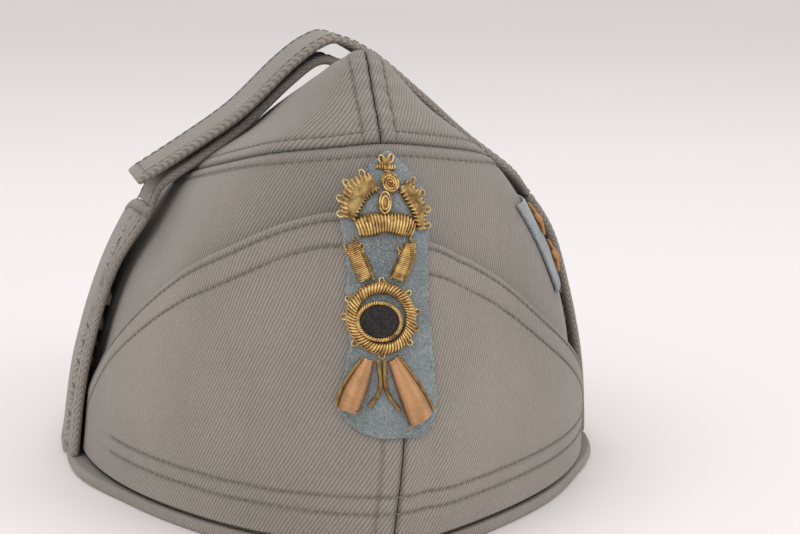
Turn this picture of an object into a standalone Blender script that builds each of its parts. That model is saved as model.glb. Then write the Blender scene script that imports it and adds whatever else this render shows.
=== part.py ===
"""A side cap of the pointed, folding kind, with a bullion badge on its front and a small badge at its side.

The cap faces -Y and stands on its folded lower edge at z = 0. Every size is in millimetres until it
reaches a mesh, which is in metres. The cloth is laid out on one surface, the outside of the crown:
u runs round it, from 0 at the front seam to -1 (left) and +1 (right) at the back seam, and level runs
up it, from row to row of SECTIONS. A flap or a badge is a piece of that surface, lifted off it.
"""

import math
from collections import namedtuple
from functools import lru_cache

import bmesh
import bpy
from mathutils import Vector

MM = 0.001

# The tables count X from the front seam, Y from near the middle and heights from a little below the
# lower edge. In the end the lower edge comes to z = 0, and the middle of the whole cap to the origin.
LOWER_EDGE = 1.4
CENTRE_X = 5.0
CENTRE_Y = -9.1

# Cloth and the gap that sewn pieces keep.
WALL = 1.6
FLAP_THICKNESS = 2.2
STRAP_THICKNESS = 2.4
GAP = 0.3

# The crown, as loops from the lower edge up to the top edge and down into the top crease. y_front and
# y_rear are a loop's ends, half_left and half_right its widths at y_widest, and its height runs in a
# curve through z_front, z_side (at Y_SIDE) and z_rear. The front of a loop is two facets that run back
# from the seam, facet_left or facet_right mm sideways for each mm, to a ridge, softened by ridge_soft.
# Behind the ridge the loop starts corner mm wide and fills out. nose_round softens the seam itself.
Y_SIDE = -8.0
SIDE_FULLNESS = 2.0
FRONT_SPACING = 1.25
REAR_FULLNESS = 2.2
REAR_ROUND = 30.0
REAR_SPACING = 1.1
Section = namedtuple(
    "Section",
    "z_front z_side z_rear y_front y_widest y_rear half_left half_right corner facet_left facet_right"
    " ridge_soft nose_round",
)
SECTIONS = (
    Section(0, 0, 0, -134, -8, 117, 69, 79, 9, 2.4, 1.5, 30, 8),
    Section(30, 28, 26, -135, -20, 118, 66, 76, 13, 2.3, 1.5, 30, 8),
    Section(60, 53, 48, -131.5, -35, 116, 60, 67.8, 22, 2.1, 1.5, 24, 7),
    Section(86, 70, 62, -125, -38, 112, 52.3, 58, 28, 1.8, 1.35, 12, 5),
    Section(105, 84, 72, -118, -35, 107, 41.5, 45, 19, 1.55, 1.25, 6, 4),
    Section(116.5, 92, 77, -107.5, -30, 101, 26, 29.5, 9.5, 1.45, 1.2, 4, 3),
    Section(126.5, 99, 81, -97, -25, 95, 13.5, 15, 3, 1.2, 1.1, 3, 3),
    Section(119, 90, 72, -91, -22, 91, 9, 9, 3, 1.0, 1.0, 3, 3),
    Section(103, 78, 64, -85, -20, 87, 0.1, 0.1, 0.1, 0.6, 0.6, 0.1, 3),
)
BAND_TOP = 4.0
CREASE_FLOOR = 8.0
SEAM_HALF_GAP_LEVEL = 0.009

# The front seam isn't quite straight: it drifts sideways with height, less the further back.
DRIFT_HEIGHTS = (0, 36, 72, 108)
DRIFTS = (-1.5, 1.7, 1.0, 0.0)
DRIFT_START_Y = -90.0
DRIFT_FULL_Y = -130.0

# Dents and swellings: where they are deepest, how far they reach along X, Y and Z, and how deep.
Dent = namedtuple("Dent", "x y z reach_x reach_y reach_z depth")
DENTS = (
    Dent(7, -131, 24, 3.2, 30, 26, 1.3),
    Dent(-26, -122, 42, 22, 30, 26, -1.6),
    Dent(34, -112, 48, 16, 26, 24, 1.4),
    Dent(-12, -106, 112, 9, 14, 10, 1.2),
    Dent(-55, -60, 78, 14, 24, 12, 2.6),
    Dent(56, -58, 84, 14, 24, 12, 2.0),
    Dent(-58, 35, 62, 18, 32, 20, 3.2),
    Dent(60, 48, 58, 18, 28, 18, 2.8),
    Dent(-30, 98, 40, 24, 24, 26, 2.2),
    Dent(24, 102, 60, 20, 24, 16, -1.8),
)

# Lower fold: a hem all round the crown. Its outside, as (part of its depth, height) from inside to out,
# is as deep as the ear flaps that it carries and shallower under the front flaps.
FOLD_INSIDE = 0.4
FOLD_PROFILE = ((0.0, 1.4), (0.78, 1.4), (1.0, 2.5), (1.0, 4.1), (0.9, 5.0), (0.0, 5.0))
FOLD_TOP = 5.0
FOLD_DEPTH_FRONT = 2.0
FOLD_DEPTH_EARS = 5.7
FOLD_WIDENING = (0.60, 0.86)

# Front flap: the height of its top edge, at parts of the way from the seam to the widest point.
FLAP_BOTTOM = 6.4
FLAP_PARTS = (0.0, 0.10, 0.20, 0.35, 0.50, 0.65, 0.80, 0.93)
FLAP_TOP_LEFT = (85, 87.5, 85.5, 77.5, 70, 60, 46, 26)
FLAP_TOP_RIGHT = (82, 80.5, 76, 67, 54, 41, 27, 13)
FLAP_LIFT_LOW = 0.4
FLAP_LIFT_SEAM = 1.8
FLAP_LIFT_END = 0.8

# Ear flaps: their front edge by height, and the height of their top edge from front to back.
EAR_BOTTOM = FOLD_TOP + GAP
EAR_EDGE_HEIGHTS = (5, 30, 55, 80)
EAR_EDGE_Y = (-27, -33, -42, -54)
EAR_TOP_PARTS = (0.0, 0.13, 0.20, 0.30, 0.45, 0.65, 0.85, 1.0)
EAR_TOP_LEFT = (80, 79, 76, 69, 63, 59, 57, 58)
EAR_TOP_RIGHT = (80, 79, 77, 70, 63, 59, 57, 58)
EAR_LIFT_FRONT = 3.7
EAR_LIFT_REAR = 1.8
STRAP_ROOT_PART = 0.15

# Straps across the top, from their flap's top edge on: the middle of their thickness.
StrapRow = namedtuple("StrapRow", "x z y_front y_back")
STRAP_OVER = (
    StrapRow(49, 89.6, -61, -31),
    StrapRow(35.5, 100, -62, -32),
    StrapRow(22.5, 111.6, -63, -34),
    StrapRow(10, 122, -64, -35),
    StrapRow(0, 127.2, -64, -36),
    StrapRow(-6, 126, -64, -36),
    StrapRow(-14, 120.2, -64, -36),
    StrapRow(-27, 108, -64, -36),
    StrapRow(-40.5, 98.8, -63, -36),
    StrapRow(-56, 89.2, -62, -36),
)
STRAP_UNDER = (
    StrapRow(-48.5, 88.6, -60, -34),
    StrapRow(-39.5, 94.8, -61, -35),
    StrapRow(-26.5, 103.9, -61, -36),
    StrapRow(-14, 115.4, -61, -37),
    StrapRow(-6, 121.2, -61, -38),
    StrapRow(0, 120.6, -61, -38),
    StrapRow(5, 117.6, -61, -38),
)
SNAP_STATION = 0.47
SNAP_RADIUS = 6.0
SNAP_CLEARANCE = 0.35

# Front badge. Places are (x, z) on the front of the cap, lifts are above the felt.
FELT_THICKNESS = 0.8
FELT_CLEARANCE = 0.4
FELT_LIFT_TOP = 0.6
FELT_TOP_STEP = (89.0, 101.0)
BadgeRow = namedtuple("BadgeRow", "z left right")
FELT = (
    BadgeRow(33.6, -4.5, 7.0),
    BadgeRow(36, -10.6, 9.6),
    BadgeRow(41, -14.6, 10.6),
    BadgeRow(47, -13.6, 10.2),
    BadgeRow(57, -11.4, 9.4),
    BadgeRow(67, -11.6, 8.8),
    BadgeRow(77, -11.2, 9.2),
    BadgeRow(88, -12.0, 10.4),
    BadgeRow(95, -8.4, 8.8),
    BadgeRow(100, -3.2, 4.8),
    BadgeRow(103, 0.4, 1.8),
)
RollRow = namedtuple("RollRow", "x z width")
CROWN_BASE = (
    RollRow(-8.6, 84.9, 3.8),
    RollRow(-5.6, 85.9, 5.2),
    RollRow(-1.5, 86.4, 4.4),
    RollRow(2.6, 85.8, 5.2),
    RollRow(5.3, 84.8, 3.6),
)
CROWN_ARCH_LEFT = (
    RollRow(-10.2, 87.4, 2.6),
    RollRow(-9.3, 91.0, 4.6),
    RollRow(-7.0, 94.3, 4.8),
    RollRow(-3.2, 96.0, 3.8),
)
CROWN_ARCH_RIGHT = (
    RollRow(7.7, 84.4, 2.2),
    RollRow(7.5, 88.6, 3.6),
    RollRow(6.0, 92.6, 4.4),
    RollRow(3.9, 95.2, 3.4),
)
CROWN_STRUT = (RollRow(-1.9, 89.5, 3.2), RollRow(-1.2, 92.8, 3.0))
CROWN_CROSS = (RollRow(0.4, 98.9, 2.0), RollRow(0.3, 101.6, 2.4))
ORB_CENTRE = (0.5, 95.8)
ORB_RADIUS = 2.4
BARREL_LEFT = (RollRow(-10.0, 81.4, 2.2), RollRow(-9.4, 79.2, 3.2), RollRow(-7.3, 73.0, 3.4))
BARREL_RIGHT = (RollRow(4.2, 81.2, 2.2), RollRow(3.4, 78.8, 3.2), RollRow(0.4, 72.8, 3.4))
BUTT_LEFT = (
    RollRow(-7.2, 53.4, 2.4),
    RollRow(-8.9, 49.6, 4.2),
    RollRow(-10.9, 45.0, 5.4),
    RollRow(-12.5, 40.8, 4.9),
)
BUTT_RIGHT = (
    RollRow(-1.2, 53.4, 2.8),
    RollRow(0.9, 48.8, 4.6),
    RollRow(3.5, 43.4, 6.2),
    RollRow(5.8, 38.3, 7.0),
)
CORD_LEFT = (RollRow(-4.9, 53.2, 1.1), RollRow(-4.5, 46.4, 1.1), RollRow(-7.2, 41.8, 1.1))
CORD_RIGHT = (RollRow(-3.3, 53.2, 1.1), RollRow(-3.1, 46.0, 1.1), RollRow(0.2, 40.6, 1.1))
DISC_CENTRE = (-4.3, 62.8)
DISC_HALF = (4.95, 4.25)
RING_CENTRE = (-3.6, 63.4)
RING_HALF = (7.25, 7.4)
RING_WIDTH = 2.3
ROLL_HEIGHT_SHARE = 0.42
ROLL_SIDES = 5

# Side badge, on the right of the crown: its edges along Y, by height.
PATCH_ROWS = (
    BadgeRow(57, -75, -52),
    BadgeRow(66, -81, -55),
    BadgeRow(76, -87, -58),
    BadgeRow(84, -91, -62),
)
PATCH_THICKNESS = 0.9
PATCH_LIFT = 0.35
STAR_RADIUS = 4.9
STAR_INNER_SHARE = 0.46
STAR_THICKNESS = 1.4
STARS = (("side_star_upper", -72.5, 77.0), ("side_star_lower", -66.0, 65.5))

# Mesh steps.
FRONT_STEPS = 20
REAR_STEPS = 14
BAND_LEVEL_STEPS = 6
PANEL_LEVELS = (4.0, 4.5, 5.0, 5.5, 5.8, 6.0, 6.2, 6.5, 7.0, 7.6, 8.0)
FLAP_STEPS = 20
FLAP_HEIGHT_STEPS = 6
EAR_STEPS = 20
EAR_HEIGHT_STEPS = 6
STRAP_STEPS_PER_ROW = 2
SHARP_ANGLE = math.radians(50)
DERIVATIVE_STEP = 0.002
HALVINGS = 16


def catmull_rom(before, start, end, after, part):
    """The smooth value a part of the way from start to end."""
    return 0.5 * (
        2 * start
        + (end - before) * part
        + (2 * before - 5 * start + 4 * end - after) * part**2
        + (3 * start - before - 3 * end + after) * part**3
    )


def along_rows(rows, position):
    """A smooth row between evenly counted rows of numbers, such as 2.5 between rows 2 and 3."""
    last = len(rows) - 1
    index = min(max(int(math.floor(position)), 0), last - 1)
    part = min(max(position - index, 0.0), 1.0)
    start, end = rows[index], rows[index + 1]
    before = rows[index - 1] if index > 0 else [2 * a - b for a, b in zip(start, end)]
    after = rows[index + 2] if index + 2 <= last else [2 * b - a for a, b in zip(start, end)]
    return [catmull_rom(*values, part) for values in zip(before, start, end, after)]


def table_value(positions, values, position):
    """The smooth value of a small table at a position, held at its ends."""
    position = min(max(position, positions[0]), positions[-1])
    index = 0
    while index < len(positions) - 2 and position > positions[index + 1]:
        index += 1
    part = (position - positions[index]) / (positions[index + 1] - positions[index])
    rows = [(value,) for value in values]
    return along_rows(rows, index + part)[0]


def smooth_step(low, high, value):
    part = min(max((value - low) / (high - low), 0.0), 1.0)
    return part * part * (3 - 2 * part)


def soft_min(first, second, softness):
    return (first + second - math.sqrt((first - second) ** 2 + softness**2)) / 2


def rounded(distance, radius, reach):
    """A distance that starts off slowly, as round a soft corner, and is whole again at its reach."""
    start = math.hypot(distance, radius) - radius
    return start * reach / (math.hypot(reach, radius) - radius)


def loop_point(section, u):
    """The place on one loop of the crown."""
    side = -1 if u < 0 else 1
    turn = 2 * abs(u)
    half_width = section.half_left if side < 0 else section.half_right
    if turn <= 1:
        reach = section.y_widest - section.y_front
        distance = reach * turn**FRONT_SPACING
        facet = section.facet_left if side < 0 else section.facet_right
        fill = 1 - (1 - distance / reach) ** SIDE_FULLNESS
        filled = section.corner + (half_width - section.corner) * fill
        at_seam = soft_min(0, section.corner, section.ridge_soft)
        x = soft_min(facet * distance, filled, section.ridge_soft) - at_seam * (1 - turn)
        y = section.y_front + rounded(distance, section.nose_round, reach)
    else:
        reach = section.y_rear - section.y_widest
        distance = reach * max(2 - turn, 0.0) ** REAR_SPACING
        x = half_width * (1 - (1 - distance / reach) ** REAR_FULLNESS)
        y = section.y_rear - rounded(distance, REAR_ROUND, reach)
    front_slope = (section.z_side - section.z_front) / (Y_SIDE - section.y_front)
    rear_slope = (section.z_rear - section.z_side) / (section.y_rear - Y_SIDE)
    bend = (rear_slope - front_slope) / (section.y_rear - section.y_front)
    from_front = y - section.y_front
    z = section.z_front + front_slope * from_front + bend * from_front * (y - Y_SIDE)
    return Vector((side * x, y, z))


@lru_cache(maxsize=None)
def plain_point(u, level):
    return loop_point(Section(*along_rows(SECTIONS, level)), u)


def normal_at(u, level):
    """The direction straight out of the plain surface."""
    step = DERIVATIVE_STEP
    u_low, u_high = max(u - step, -1.0), min(u + step, 1.0)
    low, high = max(level - step, 0.0), min(level + step, CREASE_FLOOR)
    along = plain_point(u_high, level) - plain_point(u_low, level)
    upward = plain_point(u, high) - plain_point(u, low)
    return along.cross(upward).normalized()


def dent_depth(point):
    total = 0.0
    for dent in DENTS:
        far = ((point.x - dent.x) / dent.reach_x) ** 2
        far += ((point.y - dent.y) / dent.reach_y) ** 2
        far += ((point.z - dent.z) / dent.reach_z) ** 2
        total += dent.depth * math.exp(-far)
    return total * smooth_step(2, 14, point.z)


def crown_point(u, level, lift=0.0):
    """A point of the crown's surface, with its dents, lifted straight off it."""
    point = plain_point(u, level)
    return point + normal_at(u, level) * (lift - dent_depth(point))


def solve(value_at, target, low, high, rising=True):
    """Where a value that only rises, or only falls, meets its target."""
    for _ in range(HALVINGS):
        middle = (low + high) / 2
        if (value_at(middle) < target) == rising:
            low = middle
        else:
            high = middle
    return (low + high) / 2


@lru_cache(maxsize=None)
def level_at(u, height):
    return solve(lambda level: plain_point(u, level).z, height, 0.0, 6.0)


def u_at_y(y, height, side):
    """How far round the front half of the crown a place along Y lies, at a height."""
    return side * solve(lambda u: plain_point(side * u, level_at(side * u, height)).y, y, 0.0, 0.5)


def wall_point(u, height, lift):
    """A point beside the crown's wall, at an exact height."""
    level = level_at(u, height)
    point = plain_point(u, level)
    outward = normal_at(u, level)
    outward.z = 0
    moved = point + outward.normalized() * (lift - dent_depth(point))
    moved.z = height
    return moved


def drift(height, y):
    amount = table_value(DRIFT_HEIGHTS, DRIFTS, height)
    return amount * smooth_step(-DRIFT_START_Y, -DRIFT_FULL_Y, -y)


def settled(point):
    """Where the cloth ends up: with the front seam's sideways drift, and about the origin."""
    moved = Vector((point.x + drift(point.z, point.y), point.y, point.z))
    return moved - Vector((CENTRE_X, CENTRE_Y, LOWER_EDGE))


def cloth_material(name, colour, roughness, metallic=0.0):
    material = bpy.data.materials.new(name)
    material.use_nodes = True
    shader = material.node_tree.nodes["Principled BSDF"]
    shader.inputs["Base Color"].default_value = (*colour, 1.0)
    shader.inputs["Roughness"].default_value = roughness
    shader.inputs["Metallic"].default_value = metallic
    material.diffuse_color = (*colour, 1.0)
    return material


def add_object(name, points, faces, material):
    mesh = bpy.data.meshes.new(name)
    mesh.from_pydata([settled(point) * MM for point in points], [], faces)
    mesh.materials.append(material)
    mesh.shade_smooth()
    mesh.set_sharp_from_angle(angle=SHARP_ANGLE)
    obj = bpy.data.objects.new(name, mesh)
    bpy.context.scene.collection.objects.link(obj)
    return obj


def grid_solid(name, outer, inner, material, ring=False):
    """A closed wall between two grids of points; their columns run round, their rows run up."""
    columns, rows = len(outer), len(outer[0])
    points = [point for column in outer for point in column]
    points += [point for column in inner for point in column]

    def out(column, row):
        return (column % columns) * rows + row

    def back(column, row):
        return columns * rows + out(column, row)

    faces = []
    for column in range(columns if ring else columns - 1):
        after = column + 1
        for row in range(rows - 1):
            above = row + 1
            faces.append((out(column, row), out(after, row), out(after, above), out(column, above)))
            faces.append((back(column, row), back(column, above), back(after, above), back(after, row)))
        top = rows - 1
        faces.append((out(column, 0), back(column, 0), back(after, 0), out(after, 0)))
        faces.append((out(column, top), out(after, top), back(after, top), back(column, top)))
    if not ring:
        end = columns - 1
        for row in range(rows - 1):
            above = row + 1
            faces.append((out(0, row), out(0, above), back(0, above), back(0, row)))
            faces.append((out(end, row), back(end, row), back(end, above), out(end, above)))
    return add_object(name, points, faces, material)


def ring_stations():
    """Where the columns of a wall that runs all round stand."""
    front = [step / (2 * FRONT_STEPS) for step in range(FRONT_STEPS)]
    rear = [0.5 + step / (2 * REAR_STEPS) for step in range(REAR_STEPS + 1)]
    right = front + rear
    return [-u for u in reversed(right[1:-1])] + right


def side_stations(side):
    """Where the columns of one side's wall stand, so that u rises from column to column."""
    stations = [u for u in ring_stations() if u >= 0]
    return stations if side > 0 else [-u for u in reversed(stations)]


def clear_of_middle(point, side):
    """Keeps a side's point off the middle, where its seam to the other side runs."""
    point.x = side * max(side * point.x, GAP / 2)
    return point


def make_lower_fold(material):
    stations = ring_stations()
    points = []
    for u in stations:
        widening = smooth_step(*FOLD_WIDENING, 2 * abs(u))
        depth = FOLD_DEPTH_FRONT + (FOLD_DEPTH_EARS - FOLD_DEPTH_FRONT) * widening
        points += [wall_point(u, height, FOLD_INSIDE + depth * part) for part, height in FOLD_PROFILE]
    size = len(FOLD_PROFILE)
    faces = []
    for column in range(len(stations)):
        after = (column + 1) % len(stations)
        for corner in range(size):
            following = (corner + 1) % size
            faces.append(
                (
                    column * size + corner,
                    after * size + corner,
                    after * size + following,
                    column * size + following,
                )
            )
    return add_object("lower_fold", points, faces, material)


def make_crown_band(material):
    top = BAND_TOP - SEAM_HALF_GAP_LEVEL
    levels = [top * step / BAND_LEVEL_STEPS for step in range(BAND_LEVEL_STEPS + 1)]
    stations = ring_stations()
    outer = [[crown_point(u, level) for level in levels] for u in stations]
    inner = [[crown_point(u, level, -WALL) for level in levels] for u in stations]
    for u, outside, inside in zip(stations, outer, inner):
        outside[0] = wall_point(u, LOWER_EDGE, 0.0)
        inside[0] = wall_point(u, LOWER_EDGE, -WALL)
    return grid_solid("crown_band", outer, inner, material, ring=True)


def make_crown_panel(name, side, material):
    levels = list(PANEL_LEVELS)
    levels[0] += SEAM_HALF_GAP_LEVEL
    stations = side_stations(side)
    outer = [[clear_of_middle(crown_point(u, level), side) for level in levels] for u in stations]
    inner = [
        [clear_of_middle(crown_point(u, level, -WALL), side) for level in levels] for u in stations
    ]
    return grid_solid(name, outer, inner, material)


def flap_lift(turn, share):
    """How far the front flap's inner face stands off the crown, share of the way up it."""
    top_lift = FLAP_LIFT_SEAM + (FLAP_LIFT_END - FLAP_LIFT_SEAM) * min(turn / FLAP_PARTS[-1], 1.0)
    return FLAP_LIFT_LOW + (top_lift - FLAP_LIFT_LOW) * share**2


def flap_top(turn, side):
    return table_value(FLAP_PARTS, FLAP_TOP_LEFT if side < 0 else FLAP_TOP_RIGHT, turn)


def make_front_flap(name, side, material):
    """One half of the turned-up front, from the centre seam to its end under the ear flap."""
    turns = [FLAP_PARTS[-1] * step / FLAP_STEPS for step in range(FLAP_STEPS + 1)]
    if side < 0:
        turns.reverse()
    outer, inner = [], []
    for turn in turns:
        u = side * turn / 2
        outside, inside = [], []
        for step in range(FLAP_HEIGHT_STEPS + 1):
            share = step / FLAP_HEIGHT_STEPS
            height = FLAP_BOTTOM + (flap_top(turn, side) - FLAP_BOTTOM) * share
            level = level_at(u, height)
            lift = flap_lift(turn, share)
            outside.append(clear_of_middle(crown_point(u, level, lift + FLAP_THICKNESS), side))
            inside.append(clear_of_middle(crown_point(u, level, lift), side))
        outer.append(outside)
        inner.append(inside)
    return grid_solid(name, outer, inner, material)


def ear_point(side, part, share, depth):
    """A point of an ear flap: part of the way back, share of the way up, depth into its thickness."""
    top = table_value(EAR_TOP_PARTS, EAR_TOP_LEFT if side < 0 else EAR_TOP_RIGHT, part)
    height = EAR_BOTTOM + (top - EAR_BOTTOM) * share
    edge_y = table_value(EAR_EDGE_HEIGHTS, EAR_EDGE_Y, height)
    edge = abs(u_at_y(edge_y, height, side))
    u = side * (edge + (1 - edge) * part)
    lift = EAR_LIFT_FRONT + (EAR_LIFT_REAR - EAR_LIFT_FRONT) * smooth_step(0, 1, part) + depth
    if share == 0:
        return wall_point(u, EAR_BOTTOM, lift)
    return crown_point(u, level_at(u, height), lift)


def make_ear_flap(name, side, material):
    parts = [step / EAR_STEPS for step in range(EAR_STEPS + 1)]
    if side < 0:
        parts.reverse()
    shares = [step / EAR_HEIGHT_STEPS for step in range(EAR_HEIGHT_STEPS + 1)]
    outer = [
        [clear_of_middle(ear_point(side, part, share, FLAP_THICKNESS), side) for share in shares]
        for part in parts
    ]
    inner = [
        [clear_of_middle(ear_point(side, part, share, 0.0), side) for share in shares]
        for part in parts
    ]
    return grid_solid(name, outer, inner, material)


def strap_edges(side, rows):
    """The front and back edge of a strap, from just above its flap's top edge to its free end."""
    above = Vector((0, 0, GAP + 0.2))
    middle = FLAP_THICKNESS / 2
    root_front = ear_point(side, 0.0, 1.0, middle) + above
    root_back = ear_point(side, STRAP_ROOT_PART, 1.0, middle) + above
    front = [root_front] + [Vector((row.x, row.y_front, row.z)) for row in rows]
    back = [root_back] + [Vector((row.x, row.y_back, row.z)) for row in rows]
    count = STRAP_STEPS_PER_ROW * len(rows)
    stations = [len(rows) * step / count for step in range(count + 1)]
    return (
        [Vector(along_rows(front, station)) for station in stations],
        [Vector(along_rows(back, station)) for station in stations],
    )


def strap_normals(side, front, back):
    """The direction out of the strap's upper face at each of its stations."""
    normals = []
    for index in range(len(front)):
        before, after = max(index - 1, 0), min(index + 1, len(front) - 1)
        ahead = (front[after] + back[after]) - (front[before] + back[before])
        across = back[index] - front[index]
        normals.append((across.cross(ahead) * -side).normalized() * -1)
    return normals


def make_strap(name, side, rows, material):
    front, back = strap_edges(side, rows)
    normals = strap_normals(side, front, back)
    half = STRAP_THICKNESS / 2
    upper, lower = [], []
    for edge, far, normal in zip(front, back, normals):
        middle = (edge + far) / 2
        columns = (edge, middle, far) if side > 0 else (far, middle, edge)
        upper.append([point + normal * half for point in columns])
        lower.append([point - normal * half for point in columns])
    across_upper = [[upper[i][j] for i in range(len(upper))] for j in range(3)]
    across_lower = [[lower[i][j] for i in range(len(lower))] for j in range(3)]
    return grid_solid(name, across_upper, across_lower, material)


def make_snap(material):
    """The fastener between the two straps, a plain disc in the gap that they leave."""
    over_front, over_back = strap_edges(1, STRAP_OVER)
    under_front, under_back = strap_edges(-1, STRAP_UNDER)
    over_middle = [(a + b) / 2 for a, b in zip(over_front, over_back)]
    under_middle = [(a + b) / 2 for a, b in zip(under_front, under_back)]
    index = round(SNAP_STATION * (len(under_middle) - 1))
    under = under_middle[index]
    ahead = (under_middle[index + 1] - under_middle[index - 1]).normalized()
    axis = Vector((-ahead.z, 0, ahead.x)).normalized()
    if axis.z < 0:
        axis.negate()

    def distance_along(segment):
        start, end = over_middle[segment], over_middle[segment + 1]
        run = end - start
        cross = axis.x * run.z - axis.z * run.x
        share = (axis.x * (under.z - start.z) - axis.z * (under.x - start.x)) / cross
        return share, start + run * share

    crossings = [distance_along(segment) for segment in range(len(over_middle) - 1)]
    over = [point for share, point in crossings if 0 <= share < 1][0]
    span = (over - under).dot(axis) - STRAP_THICKNESS - 2 * SNAP_CLEARANCE
    start = under + axis * (STRAP_THICKNESS / 2 + SNAP_CLEARANCE)
    sides = 20
    outward = Vector((0, 1, 0))
    sideways = axis.cross(outward)
    points = []
    for height in (0.0, span):
        for step in range(sides):
            angle = 2 * math.pi * step / sides
            offset = outward * math.cos(angle) + sideways * math.sin(angle)
            points.append(start + axis * height + offset * SNAP_RADIUS)
    faces = [tuple(range(sides - 1, -1, -1)), tuple(range(sides, 2 * sides))]
    for step in range(sides):
        after = (step + 1) % sides
        faces.append((step, after, sides + after, sides + step))
    return add_object("snap", points, faces, material)


def badge_lift(z):
    """How far the felt's back stands off the crown: over the flap low down, on the crown at its tip."""
    share = min(max((z - FLAP_BOTTOM) / (FLAP_TOP_LEFT[0] - FLAP_BOTTOM), 0.0), 1.0)
    over_flap = flap_lift(0.0, share) + FLAP_THICKNESS + FELT_CLEARANCE
    return over_flap + (FELT_LIFT_TOP - over_flap) * smooth_step(*FELT_TOP_STEP, z)


def over_front(x, height, z, lift):
    """A point over the front of the cap, at its real x, and how far its lift has raised it."""
    plain_x = x - drift(z, DRIFT_FULL_Y)
    side = -1 if plain_x < 0 else 1

    def sideways(turn):
        return side * crown_point(side * turn, level_at(side * turn, height), lift).x

    u = side * solve(sideways, abs(plain_x), 0, 0.3)
    point = crown_point(u, level_at(u, height), lift)
    return point, point.z - height


def badge_point(x, z, lift):
    """A point over the front of the cap, at its real x and z, lifted off the felt's back."""
    whole_lift = badge_lift(z) + lift
    _, rise = over_front(x, z, z, whole_lift)
    point, _ = over_front(x, z - rise, z, whole_lift)
    return point


def make_patch(name, rows, steps, columns, place, thickness, material):
    """A thin piece of felt between a left and a right edge, given by height."""
    count = steps * (len(rows) - 1)
    outer = [[] for _ in range(columns + 1)]
    inner = [[] for _ in range(columns + 1)]
    for step in range(count + 1):
        z, left, right = along_rows(rows, (len(rows) - 1) * step / count)
        for column in range(columns + 1):
            across = left + (right - left) * column / columns
            outer[column].append(place(across, z, thickness))
            inner[column].append(place(across, z, 0.0))
    return grid_solid(name, outer, inner, material)


def roll_sections(rows, steps):
    """Stations along a roll of thread: place, direction and width."""
    count = steps * (len(rows) - 1)
    stations = [along_rows(rows, (len(rows) - 1) * step / count) for step in range(count + 1)]
    sections = []
    for index, (x, z, width) in enumerate(stations):
        before, after = stations[max(index - 1, 0)], stations[min(index + 1, count)]
        ahead = Vector((after[0] - before[0], after[1] - before[1])).normalized()
        sections.append((x, z, ahead, width))
    return sections


def roll_solid(name, sections, material, closed=False):
    """A roll of thread laid flat on the felt: level below, round above."""
    points = []
    base = FELT_THICKNESS + GAP
    for x, z, ahead, width in sections:
        for side in range(ROLL_SIDES + 1):
            angle = math.pi * side / ROLL_SIDES
            sideways = width / 2 * math.cos(angle)
            lift = base + width * ROLL_HEIGHT_SHARE * math.sin(angle)
            points.append(badge_point(x + ahead.y * sideways, z - ahead.x * sideways, lift))
        points.append(badge_point(x, z, base))
    size = ROLL_SIDES + 2
    count = len(sections)
    faces = []
    for index in range(count if closed else count - 1):
        after = (index + 1) % count
        for side in range(size):
            following = (side + 1) % size
            faces.append(
                (
                    index * size + side,
                    after * size + side,
                    after * size + following,
                    index * size + following,
                )
            )
    if not closed:
        faces.append(tuple(range(size)))
        faces.append(tuple(range(count * size - 1, (count - 1) * size - 1, -1)))
    return add_object(name, points, faces, material)


def make_roll(name, rows, steps, material):
    return roll_solid(name, roll_sections(rows, steps), material)


def make_ring(name, material):
    sections = []
    steps = 24
    for step in range(steps):
        angle = -2 * math.pi * step / steps
        x = RING_CENTRE[0] + RING_HALF[0] * math.cos(angle)
        z = RING_CENTRE[1] + RING_HALF[1] * math.sin(angle)
        ahead = Vector((RING_HALF[0] * math.sin(angle), -RING_HALF[1] * math.cos(angle))).normalized()
        sections.append((x, z, ahead, RING_WIDTH))
    return roll_solid(name, sections, material, closed=True)


def make_dome(name, centre, half, height, material):
    """A flat-backed oval dome on the felt."""
    sides = 24
    base = FELT_THICKNESS + GAP
    rings = ((1.0, 0.0), (1.0, 0.45), (0.86, 0.8), (0.5, 1.0))
    points = []
    for spread, rise in rings:
        for step in range(sides):
            angle = 2 * math.pi * step / sides
            x = centre[0] + half[0] * spread * math.cos(angle)
            z = centre[1] + half[1] * spread * math.sin(angle)
            points.append(badge_point(x, z, base + height * rise))
    points.append(badge_point(centre[0], centre[1], base + height))
    points.append(badge_point(centre[0], centre[1], base))
    top, bottom = len(points) - 2, len(points) - 1
    faces = []
    for step in range(sides):
        after = (step + 1) % sides
        for ring in range(len(rings) - 1):
            low, high = ring * sides, (ring + 1) * sides
            faces.append((low + step, low + after, high + after, high + step))
        last = (len(rings) - 1) * sides
        faces.append((last + step, last + after, top))
        faces.append((after, step, bottom))
    return add_object(name, points, faces, material)


def side_point(y, z, lift):
    """A point over the right side of the crown, at its y and z, lifted off it."""
    u = u_at_y(y, z, 1)
    return crown_point(u, level_at(u, z), PATCH_LIFT + lift)


def make_star(name, y, z, material):
    """A five-pointed star of wound thread on the side patch."""
    base = PATCH_THICKNESS + GAP
    points = []
    corners = 10
    for lift in (base, base + STAR_THICKNESS * 0.5):
        for corner in range(corners):
            angle = math.pi / 2 + math.pi * 2 * corner / corners
            radius = STAR_RADIUS * (1.0 if corner % 2 == 0 else STAR_INNER_SHARE)
            points.append(side_point(y + radius * math.cos(angle), z + radius * math.sin(angle), lift))
    points.append(side_point(y, z, base + STAR_THICKNESS))
    points.append(side_point(y, z, base))
    faces = []
    for corner in range(corners):
        after = (corner + 1) % corners
        faces.append((corner, after, corners + after, corners + corner))
        faces.append((corners + corner, corners + after, 2 * corners))
        faces.append((after, corner, 2 * corners + 1))
    return add_object(name, points, faces, material)


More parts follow.
